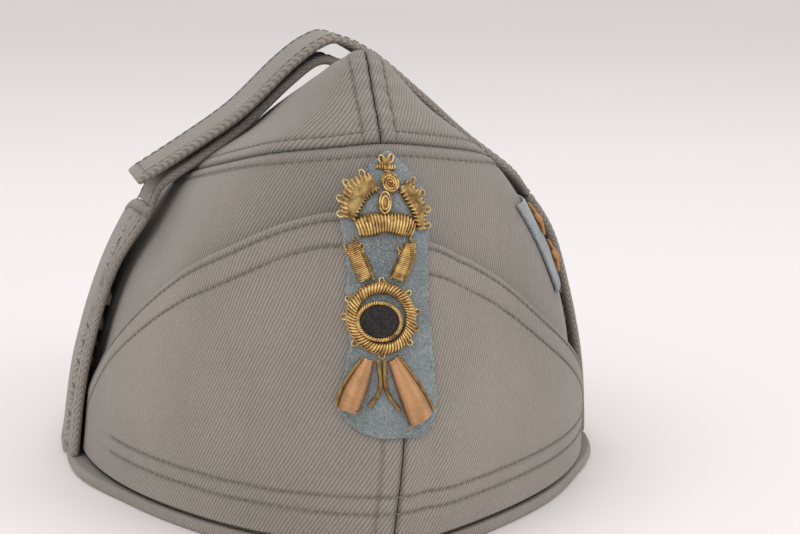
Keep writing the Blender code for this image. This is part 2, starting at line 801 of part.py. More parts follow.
def make_badge(felt, gold, copper, velvet, rim):
    make_patch("badge_felt", FELT, 2, 8, badge_point, FELT_THICKNESS, felt)
    make_roll("badge_crown_base", CROWN_BASE, 4, gold)
    make_roll("badge_crown_arch_left", CROWN_ARCH_LEFT, 4, gold)
    make_roll("badge_crown_arch_right", CROWN_ARCH_RIGHT, 4, gold)
    make_roll("badge_crown_strut", CROWN_STRUT, 3, gold)
    make_roll("badge_crown_cross", CROWN_CROSS, 3, gold)
    make_dome("badge_crown_orb", ORB_CENTRE, (ORB_RADIUS, ORB_RADIUS), 1.2, copper)
    make_roll("badge_barrel_left", BARREL_LEFT, 4, gold)
    make_roll("badge_barrel_right", BARREL_RIGHT, 4, gold)
    make_roll("badge_butt_left", BUTT_LEFT, 4, copper)
    make_roll("badge_butt_right", BUTT_RIGHT, 4, copper)
    make_roll("badge_cord_left", CORD_LEFT, 4, rim)
    make_roll("badge_cord_right", CORD_RIGHT, 4, rim)
    make_ring("badge_ring", gold)
    make_dome("badge_disc", DISC_CENTRE, DISC_HALF, 1.5, velvet)


def main():
    for obj in list(bpy.data.objects):
        bpy.data.objects.remove(obj, do_unlink=True)
    cloth = cloth_material("grey_green_twill", (0.27, 0.24, 0.205), 0.9)
    flap_cloth = cloth_material("grey_green_twill_flap", (0.29, 0.26, 0.225), 0.9)
    strap_cloth = cloth_material("grey_green_twill_strap", (0.26, 0.235, 0.20), 0.9)
    felt = cloth_material("blue_grey_felt", (0.15, 0.19, 0.22), 0.95)
    gold = cloth_material("gold_bullion", (0.55, 0.38, 0.15), 0.4, 1.0)
    copper = cloth_material("copper_thread", (0.48, 0.28, 0.14), 0.45, 1.0)
    rim = cloth_material("twisted_cord", (0.30, 0.20, 0.10), 0.55, 0.8)
    velvet = cloth_material("black_velvet", (0.012, 0.010, 0.010), 1.0)
    orange = cloth_material("orange_gold_thread", (0.45, 0.22, 0.07), 0.6, 0.5)
    steel = cloth_material("snap_metal", (0.30, 0.29, 0.27), 0.45, 1.0)

    make_lower_fold(flap_cloth)
    make_crown_band(cloth)
    for side, word in ((-1, "left"), (1, "right")):
        make_crown_panel("crown_panel_" + word, side, cloth)
        make_front_flap("front_flap_" + word, side, flap_cloth)
        make_ear_flap("ear_flap_" + word, side, flap_cloth)
    make_strap("strap_over", 1, STRAP_OVER, strap_cloth)
    make_strap("strap_under", -1, STRAP_UNDER, strap_cloth)
    make_snap(steel)
    make_badge(felt, gold, copper, velvet, rim)
    make_patch("side_patch", PATCH_ROWS, 2, 5, side_point, PATCH_THICKNESS, felt)
    for name, y, z in STARS:
        make_star(name, y, z, orange)


main()
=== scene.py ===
"""A pointed, folding side cap of grey-green twill, with its stitching, felt and bullion badge."""

import math

import bpy
import numpy as np
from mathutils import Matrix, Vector


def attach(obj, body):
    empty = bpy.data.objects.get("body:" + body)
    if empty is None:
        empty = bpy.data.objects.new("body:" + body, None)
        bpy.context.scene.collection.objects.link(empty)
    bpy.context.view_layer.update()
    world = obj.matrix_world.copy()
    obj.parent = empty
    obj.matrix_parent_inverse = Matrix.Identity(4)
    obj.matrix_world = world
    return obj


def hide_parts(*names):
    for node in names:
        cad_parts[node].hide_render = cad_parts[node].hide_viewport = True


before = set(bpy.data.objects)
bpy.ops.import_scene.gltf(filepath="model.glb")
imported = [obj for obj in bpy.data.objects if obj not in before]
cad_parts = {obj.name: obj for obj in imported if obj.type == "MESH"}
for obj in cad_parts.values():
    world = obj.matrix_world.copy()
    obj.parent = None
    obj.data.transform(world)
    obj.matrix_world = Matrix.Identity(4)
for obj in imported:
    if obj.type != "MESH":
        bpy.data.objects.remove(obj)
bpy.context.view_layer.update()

bl_info = {
    "name": "Side Cap",
    "version": (1, 0, 0),
    "blender": (4, 5, 0),
    "location": "View3D > Sidebar > Side Cap",
    "description": "Builds a twill side cap with its straps, stitching and bullion badge",
    "category": "Object",
}

# The crown's own surface, in millimetres, as the solids have it.
LOWER_EDGE = 1.4
CENTRE = np.array((5.0, -9.1, LOWER_EDGE))
WALL = 1.6
FLAP_THICKNESS = 2.2
STRAP_THICKNESS = 2.4
GAP = 0.3
Y_SIDE = -8.0
SIDE_FULLNESS = 2.0
FRONT_SPACING = 1.25
REAR_FULLNESS = 2.2
REAR_ROUND = 30.0
REAR_SPACING = 1.1

# z_front, z_side, z_rear, y_front, y_widest, y_rear, half_left, half_right, corner, facet_left,
# facet_right, ridge_soft, nose_round
SECTIONS = np.array(
    (
        (0, 0, 0, -134, -8, 117, 69, 79, 9, 2.4, 1.5, 30, 8),
        (30, 28, 26, -135, -20, 118, 66, 76, 13, 2.3, 1.5, 30, 8),
        (60, 53, 48, -131.5, -35, 116, 60, 67.8, 22, 2.1, 1.5, 24, 7),
        (86, 70, 62, -125, -38, 112, 52.3, 58, 28, 1.8, 1.35, 12, 5),
        (105, 84, 72, -118, -35, 107, 41.5, 45, 19, 1.55, 1.25, 6, 4),
        (116.5, 92, 77, -107.5, -30, 101, 26, 29.5, 9.5, 1.45, 1.2, 4, 3),
        (126.5, 99, 81, -97, -25, 95, 13.5, 15, 3, 1.2, 1.1, 3, 3),
        (119, 90, 72, -91, -22, 91, 9, 9, 3, 1.0, 1.0, 3, 3),
        (103, 78, 64, -85, -20, 87, 0.1, 0.1, 0.1, 0.6, 0.6, 0.1, 3),
    )
)
BAND_TOP = 4.0
TOP_EDGE = 6.0
CREASE_FLOOR = 8.0
SEAM_HALF_GAP_LEVEL = 0.009
DRIFT_HEIGHTS = (0, 36, 72, 108)
DRIFTS = (-1.5, 1.7, 1.0, 0.0)
DRIFT_Y = (90.0, 130.0)

# x, y, z, reach_x, reach_y, reach_z, depth
DENTS = (
    (7, -131, 24, 3.2, 30, 26, 1.3),
    (-26, -122, 42, 22, 30, 26, -1.6),
    (34, -112, 48, 16, 26, 24, 1.4),
    (-12, -106, 112, 9, 14, 10, 1.2),
    (-55, -60, 78, 14, 24, 12, 2.6),
    (56, -58, 84, 14, 24, 12, 2.0),
    (-58, 35, 62, 18, 32, 20, 3.2),
    (60, 48, 58, 18, 28, 18, 2.8),
    (-30, 98, 40, 24, 24, 26, 2.2),
    (24, 102, 60, 20, 24, 16, -1.8),
)

# The fold, the flaps and the straps.
FOLD_INSIDE = 0.4
FOLD_TOP = 5.0
FOLD_DEPTHS = (2.0, 5.7)
FOLD_WIDENING = (0.60, 0.86)
FLAP_BOTTOM = 6.4
FLAP_PARTS = (0.0, 0.10, 0.20, 0.35, 0.50, 0.65, 0.80, 0.93)
FLAP_TOPS = {-1: (85, 87.5, 85.5, 77.5, 70, 60, 46, 26), 1: (82, 80.5, 76, 67, 54, 41, 27, 13)}
FLAP_LIFT_LOW = 0.4
FLAP_LIFT_SEAM = 1.8
FLAP_LIFT_END = 0.8
EAR_BOTTOM = FOLD_TOP + GAP
EAR_EDGE_HEIGHTS = (5, 30, 55, 80)
EAR_EDGE_Y = (-27, -33, -42, -54)
EAR_TOP_PARTS = (0.0, 0.13, 0.20, 0.30, 0.45, 0.65, 0.85, 1.0)
EAR_TOPS = {-1: (80, 79, 76, 69, 63, 59, 57, 58), 1: (80, 79, 77, 70, 63, 59, 57, 58)}
EAR_LIFTS = (3.7, 1.8)
STRAP_ROOT_PART = 0.15

# x, z, y_front, y_back of the middle of a strap's thickness
STRAP_OVER = (
    (49, 89.6, -61, -31),
    (35.5, 100, -62, -32),
    (22.5, 111.6, -63, -34),
    (10, 122, -64, -35),
    (0, 127.2, -64, -36),
    (-6, 126, -64, -36),
    (-14, 120.2, -64, -36),
    (-27, 108, -64, -36),
    (-40.5, 98.8, -63, -36),
    (-56, 89.2, -62, -36),
)
STRAP_UNDER = (
    (-48.5, 88.6, -60, -34),
    (-39.5, 94.8, -61, -35),
    (-26.5, 103.9, -61, -36),
    (-14, 115.4, -61, -37),
    (-6, 121.2, -61, -38),
    (0, 120.6, -61, -38),
    (5, 117.6, -61, -38),
)

# The front badge, as (x, z) on the front of the cap and lifts above the felt's back.
FELT_THICKNESS = 0.8
FELT_CLEARANCE = 0.4
FELT_LIFT_TOP = 0.6
FELT_TOP_STEP = (89.0, 101.0)
ROLL_BASE = FELT_THICKNESS + GAP
ROLL_HEIGHT_SHARE = 0.42
FELT = (
    (33.6, -4.5, 7.0),
    (36, -10.6, 9.6),
    (41, -14.6, 10.6),
    (47, -13.6, 10.2),
    (57, -11.4, 9.4),
    (67, -11.6, 8.8),
    (77, -11.2, 9.2),
    (88, -12.0, 10.4),
    (95, -8.4, 8.8),
    (100, -3.2, 4.8),
    (103, 0.4, 1.8),
)
CROWN_BASE = ((-8.6, 84.9, 3.8), (-5.6, 85.9, 5.2), (-1.5, 86.4, 4.4), (2.6, 85.8, 5.2), (5.3, 84.8, 3.6))
CROWN_ARCH_LEFT = ((-10.2, 87.4, 2.6), (-9.3, 91.0, 4.6), (-7.0, 94.3, 4.8), (-3.2, 96.0, 3.8))
CROWN_ARCH_RIGHT = ((7.7, 84.4, 2.2), (7.5, 88.6, 3.6), (6.0, 92.6, 4.4), (3.9, 95.2, 3.4))
CROWN_STRUT = ((-1.9, 89.5, 3.2), (-1.2, 92.8, 3.0))
ORB_CENTRE = (0.5, 95.8)
ORB_RADIUS = 2.4
BARREL_LEFT = ((-10.0, 81.4, 2.2), (-9.4, 79.2, 3.2), (-7.3, 73.0, 3.4))
BARREL_RIGHT = ((4.2, 81.2, 2.2), (3.4, 78.8, 3.2), (0.4, 72.8, 3.4))
BUTT_LEFT = ((-7.2, 53.4, 2.4), (-8.9, 49.6, 4.2), (-10.9, 45.0, 5.4), (-12.5, 40.8, 4.9))
BUTT_RIGHT = ((-1.2, 53.4, 2.8), (0.9, 48.8, 4.6), (3.5, 43.4, 6.2), (5.8, 38.3, 7.0))
CORD_LEFT = ((-4.9, 53.2, 1.1), (-4.5, 46.4, 1.1), (-7.2, 41.8, 1.1))
CORD_RIGHT = ((-3.3, 53.2, 1.1), (-3.1, 46.0, 1.1), (0.2, 40.6, 1.1))
DISC_CENTRE = (-4.3, 62.8)
DISC_HALF = (4.95, 4.25)
RING_CENTRE = (-3.6, 63.4)
RING_HALF = (7.25, 7.4)
RING_WIDTH = 2.3
BADGE_X = np.arange(-19.0, 17.1, 1.0)
BADGE_Z = np.arange(28.0, 106.1, 1.5)
BADGE_LIFTS = np.array((-1.0, 0.5, 2.0, 3.5, 5.0))

# The side badge: its edges along Y, by height.
PATCH_ROWS = ((57, -75, -52), (66, -81, -55), (76, -87, -58), (84, -91, -62))
PATCH_THICKNESS = 0.9
PATCH_LIFT = 0.35
STAR_RADIUS = 4.9
STAR_INNER_SHARE = 0.46
STAR_THICKNESS = 1.4
STARS = (("side_star_upper", -72.5, 77.0), ("side_star_lower", -66.0, 65.5))

DERIVATIVE_STEP = 0.002
HALVINGS = 16
SEED = 7


def along_rows(rows, position):
    """Smooth values between evenly counted rows of numbers, such as 2.5 between rows 2 and 3."""
    rows = np.asarray(rows, float)
    position = np.asarray(position, float)
    last = len(rows) - 1
    padded = np.concatenate([[2 * rows[0] - rows[1]], rows, [2 * rows[-1] - rows[-2]]])
    index = np.clip(np.floor(position).astype(int), 0, last - 1)
    part = np.clip(position - index, 0, 1)
    if rows.ndim > 1:
        part = part[..., None]
    before, start, end, after = (padded[index + step] for step in range(4))
    return 0.5 * (
        2 * start
        + (end - before) * part
        + (2 * before - 5 * start + 4 * end - after) * part**2
        + (3 * start - before - 3 * end + after) * part**3
    )


def table_value(positions, values, position):
    """Smooth values of a small table, held at its ends."""
    place = np.interp(position, positions, np.arange(len(positions)))
    return along_rows(values, place)


def smooth_step(low, high, value):
    part = np.clip((value - low) / (high - low), 0.0, 1.0)
    return part * part * (3 - 2 * part)


def soft_min(first, second, softness):
    return (first + second - np.sqrt((first - second) ** 2 + softness**2)) / 2


def rounded(distance, radius, reach):
    start = np.hypot(distance, radius) - radius
    return start * reach / (np.hypot(reach, radius) - radius)


def plain_crown(u, level):
    """Points of the crown without its dents."""
    u, level = np.broadcast_arrays(np.asarray(u, float), np.asarray(level, float))
    row = np.moveaxis(along_rows(SECTIONS, level), -1, 0)
    z_front, z_side, z_rear, y_front, y_widest, y_rear = row[:6]
    left, right, corner, facet_left, facet_right, ridge_soft, nose_round = row[6:]
    side = np.where(u < 0, -1.0, 1.0)
    turn = 2 * np.abs(u)
    half_width = np.where(side < 0, left, right)
    facet = np.where(side < 0, facet_left, facet_right)
    reach = y_widest - y_front
    distance = reach * np.minimum(turn, 1.0) ** FRONT_SPACING
    filled = corner + (half_width - corner) * (1 - (1 - distance / reach) ** SIDE_FULLNESS)
    at_seam = soft_min(0.0, corner, ridge_soft)
    x_front = soft_min(facet * distance, filled, ridge_soft) - at_seam * (1 - np.minimum(turn, 1.0))
    y_ahead = y_front + rounded(distance, nose_round, reach)
    rear_reach = y_rear - y_widest
    behind = rear_reach * np.clip(2 - turn, 0.0, 1.0) ** REAR_SPACING
    x_rear = half_width * (1 - (1 - behind / rear_reach) ** REAR_FULLNESS)
    y_behind = y_rear - rounded(behind, REAR_ROUND, rear_reach)
    x = np.where(turn <= 1, x_front, x_rear)
    y = np.where(turn <= 1, y_ahead, y_behind)
    front_slope = (z_side - z_front) / (Y_SIDE - y_front)
    rear_slope = (z_rear - z_side) / (y_rear - Y_SIDE)
    bend = (rear_slope - front_slope) / (y_rear - y_front)
    z = z_front + front_slope * (y - y_front) + bend * (y - y_front) * (y - Y_SIDE)
    return np.stack([side * x, y, z], -1)


def unit(vectors):
    return vectors / np.maximum(np.linalg.norm(vectors, axis=-1, keepdims=True), 1e-9)


def crown_normal(u, level):
    step = DERIVATIVE_STEP
    along = plain_crown(np.minimum(u + step, 1.0), level) - plain_crown(np.maximum(u - step, -1.0), level)
    upward = plain_crown(u, np.minimum(level + step, CREASE_FLOOR))
    upward = upward - plain_crown(u, np.maximum(level - step, 0.0))
    return unit(np.cross(along, upward))


def dent_depth(points):
    total = 0.0
    for x, y, z, reach_x, reach_y, reach_z, depth in DENTS:
        far = ((points[..., 0] - x) / reach_x) ** 2
        far = far + ((points[..., 1] - y) / reach_y) ** 2 + ((points[..., 2] - z) / reach_z) ** 2
        total = total + depth * np.exp(-far)
    return total * smooth_step(2, 14, points[..., 2])


def crown(u, level, lift=0.0):
    """Points of the crown's surface with its dents, lifted straight off it."""
    points = plain_crown(u, level)
    return points + crown_normal(u, level) * (lift - dent_depth(points))[..., None]


def solve(value_at, target, low, high):
    """Where values that only rise meet their targets, element by element."""
    low = np.zeros_like(target) + low
    high = np.zeros_like(target) + high
    for _ in range(HALVINGS):
        middle = (low + high) / 2
        below = value_at(middle) < target
        low = np.where(below, middle, low)
        high = np.where(below, high, middle)
    return (low + high) / 2


def level_at(u, height):
    u, height = np.broadcast_arrays(np.asarray(u, float), np.asarray(height, float))
    return solve(lambda level: plain_crown(u, level)[..., 2], height, 0.0, 6.0)


def wall(u, height, lift):
    """Points beside the crown's wall at an exact height."""
    level = level_at(u, height)
    points = plain_crown(u, level)
    outward = crown_normal(u, level) * np.array((1.0, 1.0, 0.0))
    points = points + unit(outward) * (lift - dent_depth(points))[..., None]
    points[..., 2] = height
    return points


def drift(height, y):
    return table_value(DRIFT_HEIGHTS, DRIFTS, height) * smooth_step(*DRIFT_Y, -y)


def settled(points):
    """Where the cloth ends up, in metres."""
    moved = np.array(points, float)
    moved[..., 0] += drift(moved[..., 2], moved[..., 1])
    return (moved - CENTRE) * 0.001


def wander(a, b, seed):
    """A smooth value from about -1 to 1 that wanders over a and b."""
    total = 0.0
    for step in range(4):
        turn = seed * 1.7 + step * 2.4
        total = total + np.sin(a * math.cos(turn) + b * math.sin(turn) + seed * 3.1 + step * 1.3)
    return total / 4


def groove(distance, place, width):
    return np.exp(-(((distance - place) / width) ** 2))


def arc_lengths(points, axis):
    """Distance along an axis of a grid of points."""
    steps = np.linalg.norm(np.diff(points, axis=axis), axis=-1)
    start = np.zeros_like(np.take(steps, [0], axis=axis))
    return np.concatenate([start, np.cumsum(steps, axis=axis)], axis=axis)


def edge_rows(length, low_edge, high_edge, count):
    """Places from 0 to each column's length, gathered near its rolled ends."""
    roll = np.array((0.0, 0.04, 0.16, 0.36, 0.64, 1.0))
    low = roll * low_edge if low_edge else roll[:1]
    high = roll * high_edge if high_edge else roll[:1]
    length = np.asarray(length, float)[:, None]
    middle = np.linspace(0, 1, count)[None, 1:-1]
    between = low[-1] + (length - low[-1] - high[-1]) * middle
    ends_low = np.broadcast_to(low[None, :], (len(length), len(low)))
    return np.concatenate([ends_low, between, length - high[None, ::-1]], axis=1)


def rolled(distance, radius):
    """The share of its thickness that cloth has this far from a rolled edge."""
    part = np.clip(distance / radius, 0.0, 1.0)
    return np.sqrt(np.clip(1 - (1 - part) ** 2, 0.0, 1.0))


def mesh_object(name, points, faces, uvs=None, masks=None):
    """A smooth mesh in metres, with a cloth UV map and named masks where given."""
    mesh = bpy.data.meshes.new(name)
    mesh.from_pydata(np.asarray(points, float).tolist(), [], [list(map(int, face)) for face in faces])
    if uvs is not None:
        layer = mesh.uv_layers.new(name="cloth")
        layer.data.foreach_set("uv", np.asarray(uvs, np.float32).ravel())
    for mask, values in (masks or {}).items():
        attribute = mesh.attributes.new(mask, "FLOAT", "POINT")
        attribute.data.foreach_set("value", np.asarray(values, np.float32).ravel())
    mesh.shade_smooth()
    mesh.update()
    obj = bpy.data.objects.new(name, mesh)
    bpy.context.scene.collection.objects.link(obj)
    return obj


def cloth_wall(name, outer, inner, ring=False, worn_and_groove_shaded=None):
    """A closed cloth wall between two grids of points in mm; columns run round, rows run up."""
    columns, rows = outer.shape[:2]
    wide = columns + (1 if ring else 0)
    place = np.arange(wide * rows).reshape(wide, rows)
    vertex = (place // rows % columns) * rows + place % rows
    shift = columns * rows
    closed = np.concatenate([outer, outer[:1]]) if ring else outer
    across = arc_lengths(closed, 0)[:, rows // 2][:, None] + np.zeros((1, rows))
    upward = arc_lengths(closed, 1)
    cloth_uv = np.stack([across, upward], -1).reshape(-1, 2) * 0.001
    corners = [(slice(0, -1), slice(0, -1)), (slice(1, None), slice(0, -1))]
    corners += [(slice(1, None), slice(1, None)), (slice(0, -1), slice(1, None))]
    a, b, c, d = (place[corner].ravel() for corner in corners)
    quads = [(np.stack([a, b, c, d], 1), 0), (np.stack([a, d, c, b], 1), 1)]
    faces = []
    uvs = []
    flat = vertex.ravel()
    for quad, back in quads:
        faces.append(flat[quad] + back * shift)
        uvs.append(cloth_uv[quad])

    def rim(line, flip):
        first, second = line[:-1], line[1:]
        order = [first, second] if flip else [second, first]
        corners = [flat[order[0]], flat[order[1]], flat[order[1]] + shift, flat[order[0]] + shift]
        faces.append(np.stack(corners, 1))
        uvs.append(np.stack([cloth_uv[order[i]] for i in (0, 1, 1, 0)], 1))

    rim(place[:, 0], False)
    rim(place[:, -1], True)
    if not ring:
        rim(place[0, :], True)
        rim(place[-1, :], False)
    points = settled(np.concatenate([outer.reshape(-1, 3), inner.reshape(-1, 3)]))
    masks = {}
    # Painted shade: the mask darkens the outer colour in seams, stitch grooves and hems.
    if worn_and_groove_shaded is not None:
        masks["groove_shade"] = np.concatenate([worn_and_groove_shaded.ravel(), np.zeros(shift)])
    return mesh_object(name, points, np.concatenate(faces), np.concatenate(uvs).reshape(-1, 2), masks)


def clear_of_middle(points, side):
    points[..., 0] = side * np.maximum(side * points[..., 0], GAP / 2)
    return points


def from_seam(side, first, last, count, dense):
    """Stations round one side, gathered towards the front seam."""
    part = np.linspace(0, 1, count) ** dense
    stations = side * (first + (last - first) * part) / 2
    return stations if side > 0 else stations[::-1]


def flap_top(turn, side):
    return table_value(FLAP_PARTS, FLAP_TOPS[side], turn)


def flap_lift(turn, share):
    top_lift = FLAP_LIFT_SEAM + (FLAP_LIFT_END - FLAP_LIFT_SEAM) * np.minimum(turn / FLAP_PARTS[-1], 1.0)
    return FLAP_LIFT_LOW + (top_lift - FLAP_LIFT_LOW) * share**2


def ear_place(side, part, share):
    """u and height on an ear flap, part of the way back and share of the way up."""
    top = table_value(EAR_TOP_PARTS, EAR_TOPS[side], part)
    height = EAR_BOTTOM + (top - EAR_BOTTOM) * share
    edge_y = table_value(EAR_EDGE_HEIGHTS, EAR_EDGE_Y, np.clip(height, 5, 80))
    edge = solve(lambda u: plain_crown(side * u, level_at(side * u, height))[..., 1], edge_y, 0.0, 0.5)
    return side * (edge + (1 - edge) * part), height


def ear_lift(part):
    return EAR_LIFTS[0] + (EAR_LIFTS[1] - EAR_LIFTS[0]) * smooth_step(0, 1, part)


def badge_lift(z):
    share = np.clip((z - FLAP_BOTTOM) / (FLAP_TOPS[-1][0] - FLAP_BOTTOM), 0.0, 1.0)
    over_flap = flap_lift(0.0, share) + FLAP_THICKNESS + FELT_CLEARANCE
    return over_flap + (FELT_LIFT_TOP - over_flap) * smooth_step(*FELT_TOP_STEP, z)


def over_front(x, height, z, lift):
    plain_x = x - drift(z, -DRIFT_Y[1])
    side = np.where(plain_x < 0, -1.0, 1.0)

    def sideways(turn):
        return side * crown(side * turn, level_at(side * turn, height), lift)[..., 0]

    u = side * solve(sideways, np.abs(plain_x), 0, 0.3)
    points = crown(u, level_at(u, height), lift)
    return points, points[..., 2] - height


def badge_map():
    """The front of the cap as points by x, z and lift above the felt's back."""
    x, z, lift = np.meshgrid(BADGE_X, BADGE_Z, BADGE_LIFTS, indexing="ij")
    whole = badge_lift(z) + lift
    _, rise = over_front(x, z, z, whole)
    points, _ = over_front(x, z - rise, z, whole)
    return points


def over_badge(x, z, lift):
    """Points over the front badge, from its map."""
    x, z, lift = np.broadcast_arrays(*(np.asarray(value, float) for value in (x, z, lift)))
    result = 0.0
    places = []
    for values, axis in ((x, BADGE_X), (z, BADGE_Z), (lift, BADGE_LIFTS)):
        place = np.clip((values - axis[0]) / (axis[1] - axis[0]), 0, len(axis) - 1.001)
        places.append((place.astype(int), place - place.astype(int)))
    (i, a), (j, b), (k, c) = places
    for di in (0, 1):
        for dj in (0, 1):
            for dk in (0, 1):
                weight = (a if di else 1 - a) * (b if dj else 1 - b) * (c if dk else 1 - c)
                result = result + BADGE_MAP[i + di, j + dj, k + dk] * weight[..., None]
    return result


BADGE_MAP = badge_map()


def over_side(y, z, lift):
    """Points over the right side of the crown, by y and z."""
    y, z, lift = np.broadcast_arrays(*(np.asarray(value, float) for value in (y, z, lift)))
    u = solve(lambda turn: plain_crown(turn, level_at(turn, z))[..., 1], y, 0.0, 0.5)
    return crown(u, level_at(u, z), PATCH_LIFT + lift)


# Shader pieces.


def group_tree(name, inputs, outputs):
    """An empty shader node group with named sockets."""
    tree = bpy.data.node_groups.new(name, "ShaderNodeTree")
    for socket, kind, value in inputs:
        made = tree.interface.new_socket(name=socket, in_out="INPUT", socket_type=kind)
        if value is not None:
            made.default_value = value
    for socket, kind in outputs:
        tree.interface.new_socket(name=socket, in_out="OUTPUT", socket_type=kind)
    return tree, tree.nodes.new("NodeGroupInput"), tree.nodes.new("NodeGroupOutput")


def math_node(tree, operation, first, second=None, third=None):
    node = tree.nodes.new("ShaderNodeMath")
    node.operation = operation
    for socket, value in zip(node.inputs, (first, second, third)):
        if value is None:
            continue
        if isinstance(value, (int, float)):
            socket.default_value = value
        else:
            tree.links.new(value, socket)
    return node.outputs[0]


def noise_node(tree, vector, scale, detail=2.0, roughness=0.5):
    node = tree.nodes.new("ShaderNodeTexNoise")
    node.inputs["Scale"].default_value = scale
    node.inputs["Detail"].default_value = detail
    node.inputs["Roughness"].default_value = roughness
    tree.links.new(vector, node.inputs["Vector"])
    return node.outputs["Fac"]


def mix_colour(tree, factor, first, second):
    node = tree.nodes.new("ShaderNodeMix")
    node.data_type = "RGBA"
    for socket, value in ((node.inputs[0], factor), (node.inputs[6], first), (node.inputs[7], second)):
        if isinstance(value, (int, float)):
            socket.default_value = value
        elif isinstance(value, bpy.types.NodeSocket):
            tree.links.new(value, socket)
        else:
            socket.default_value = (*value[:3], 1.0)
    return node.outputs[2]


def range_node(tree, value, low, high, out_low=0.0, out_high=1.0):
    node = tree.nodes.new("ShaderNodeMapRange")
    tree.links.new(value, node.inputs["Value"])
    for name, number in (("From Min", low), ("From Max", high), ("To Min", out_low), ("To Max", out_high)):
        node.inputs[name].default_value = number
    return node.outputs["Result"]


def twill_group():
    """Steep ribs with short threads across them, as a height and a painted shade that is darker where the
    weave is low.
    """
    inputs = [
        ("Vector", "NodeSocketVector", None),
        ("Pitch", "NodeSocketFloat", 0.00095),
        ("Angle", "NodeSocketFloat", 1.08),
    ]
    outputs = [("Height", "NodeSocketFloat"), ("Shade", "NodeSocketFloat")]
    tree, source, sink = group_tree("Twill Ribs", inputs, outputs)
    split = tree.nodes.new("ShaderNodeSeparateXYZ")
    tree.links.new(source.outputs["Vector"], split.inputs[0])
    sine = math_node(tree, "SINE", source.outputs["Angle"])
    cosine = math_node(tree, "COSINE", source.outputs["Angle"])
    u, v = split.outputs["X"], split.outputs["Y"]
    u_sine, v_cosine = math_node(tree, "MULTIPLY", u, sine), math_node(tree, "MULTIPLY", v, cosine)
    u_cosine, v_sine = math_node(tree, "MULTIPLY", u, cosine), math_node(tree, "MULTIPLY", v, sine)
    across = math_node(tree, "SUBTRACT", u_sine, v_cosine)
    along = math_node(tree, "ADD", u_cosine, v_sine)
    across = math_node(tree, "DIVIDE", across, source.outputs["Pitch"])
    along = math_node(tree, "DIVIDE", along, source.outputs["Pitch"])
    wobble = noise_node(tree, source.outputs["Vector"], 260.0, 1.0)
    across = math_node(tree, "ADD", across, math_node(tree, "MULTIPLY", wobble, 0.55))
    rib = math_node(tree, "COSINE", math_node(tree, "MULTIPLY", across, 2 * math.pi))
    rib = math_node(tree, "MULTIPLY_ADD", rib, 0.5, 0.5)
    thread = math_node(tree, "MULTIPLY_ADD", across, 0.5, math_node(tree, "MULTIPLY", along, 1.5))
    thread = math_node(tree, "COSINE", math_node(tree, "MULTIPLY", thread, 2 * math.pi))
    thread = math_node(tree, "MULTIPLY_ADD", thread, 0.5, 0.5)
    fuzz = noise_node(tree, source.outputs["Vector"], 2600.0, 2.0, 0.7)
    height = math_node(tree, "MULTIPLY", rib, math_node(tree, "MULTIPLY_ADD", thread, 0.3, 0.7))
    height = math_node(tree, "MULTIPLY_ADD", fuzz, 0.35, height)
    tree.links.new(height, sink.inputs["Height"])
    # The Shade output is painted shade: it follows the height, darkest in the grooves between the ribs.
    tree.links.new(range_node(tree, height, 0.1, 1.2), sink.inputs["Shade"])
    return tree


def mottle_group():
    """Broad, soft changes of shade with a little fine speckle."""
    inputs = [("Vector", "NodeSocketVector", None), ("Scale", "NodeSocketFloat", 28.0)]
    outputs = [("Broad", "NodeSocketFloat"), ("Fine", "NodeSocketFloat")]
    tree, source, sink = group_tree("Wear And Mottle", inputs, outputs)
    broad = tree.nodes.new("ShaderNodeTexNoise")
    broad.inputs["Detail"].default_value = 3.0
    tree.links.new(source.outputs["Vector"], broad.inputs["Vector"])
    tree.links.new(source.outputs["Scale"], broad.inputs["Scale"])
    fine = tree.nodes.new("ShaderNodeTexNoise")
    fine.inputs["Detail"].default_value = 4.0
    fine.inputs["Roughness"].default_value = 0.7
    tree.links.new(source.outputs["Vector"], fine.inputs["Vector"])
    scale = math_node(tree, "MULTIPLY", source.outputs["Scale"], 30.0)
    tree.links.new(scale, fine.inputs["Scale"])
    tree.links.new(range_node(tree, broad.outputs["Fac"], 0.3, 0.7), sink.inputs["Broad"])
    tree.links.new(range_node(tree, fine.outputs["Fac"], 0.25, 0.75), sink.inputs["Fine"])
    return tree


def group_node(material, tree, vector, **values):
    nodes, links = material.node_tree.nodes, material.node_tree.links
    node = nodes.new("ShaderNodeGroup")
    node.node_tree = tree
    links.new(vector, node.inputs["Vector"])
    for name, value in values.items():
        node.inputs[name.replace("_", " ").title()].default_value = value
    return node


def new_material(name, roughness, metallic=0.0):
    material = bpy.data.materials.new(name)
    material.use_nodes = True
    shader = material.node_tree.nodes["Principled BSDF"]
    shader.inputs["Roughness"].default_value = roughness
    shader.inputs["Metallic"].default_value = metallic
    return material, material.node_tree, shader


def bump(tree, shader, height, strength, distance):
    node = tree.nodes.new("ShaderNodeBump")
    node.inputs["Strength"].default_value = strength
    node.inputs["Distance"].default_value = distance
    tree.links.new(height, node.inputs["Height"])
    tree.links.new(node.outputs["Normal"], shader.inputs["Normal"])


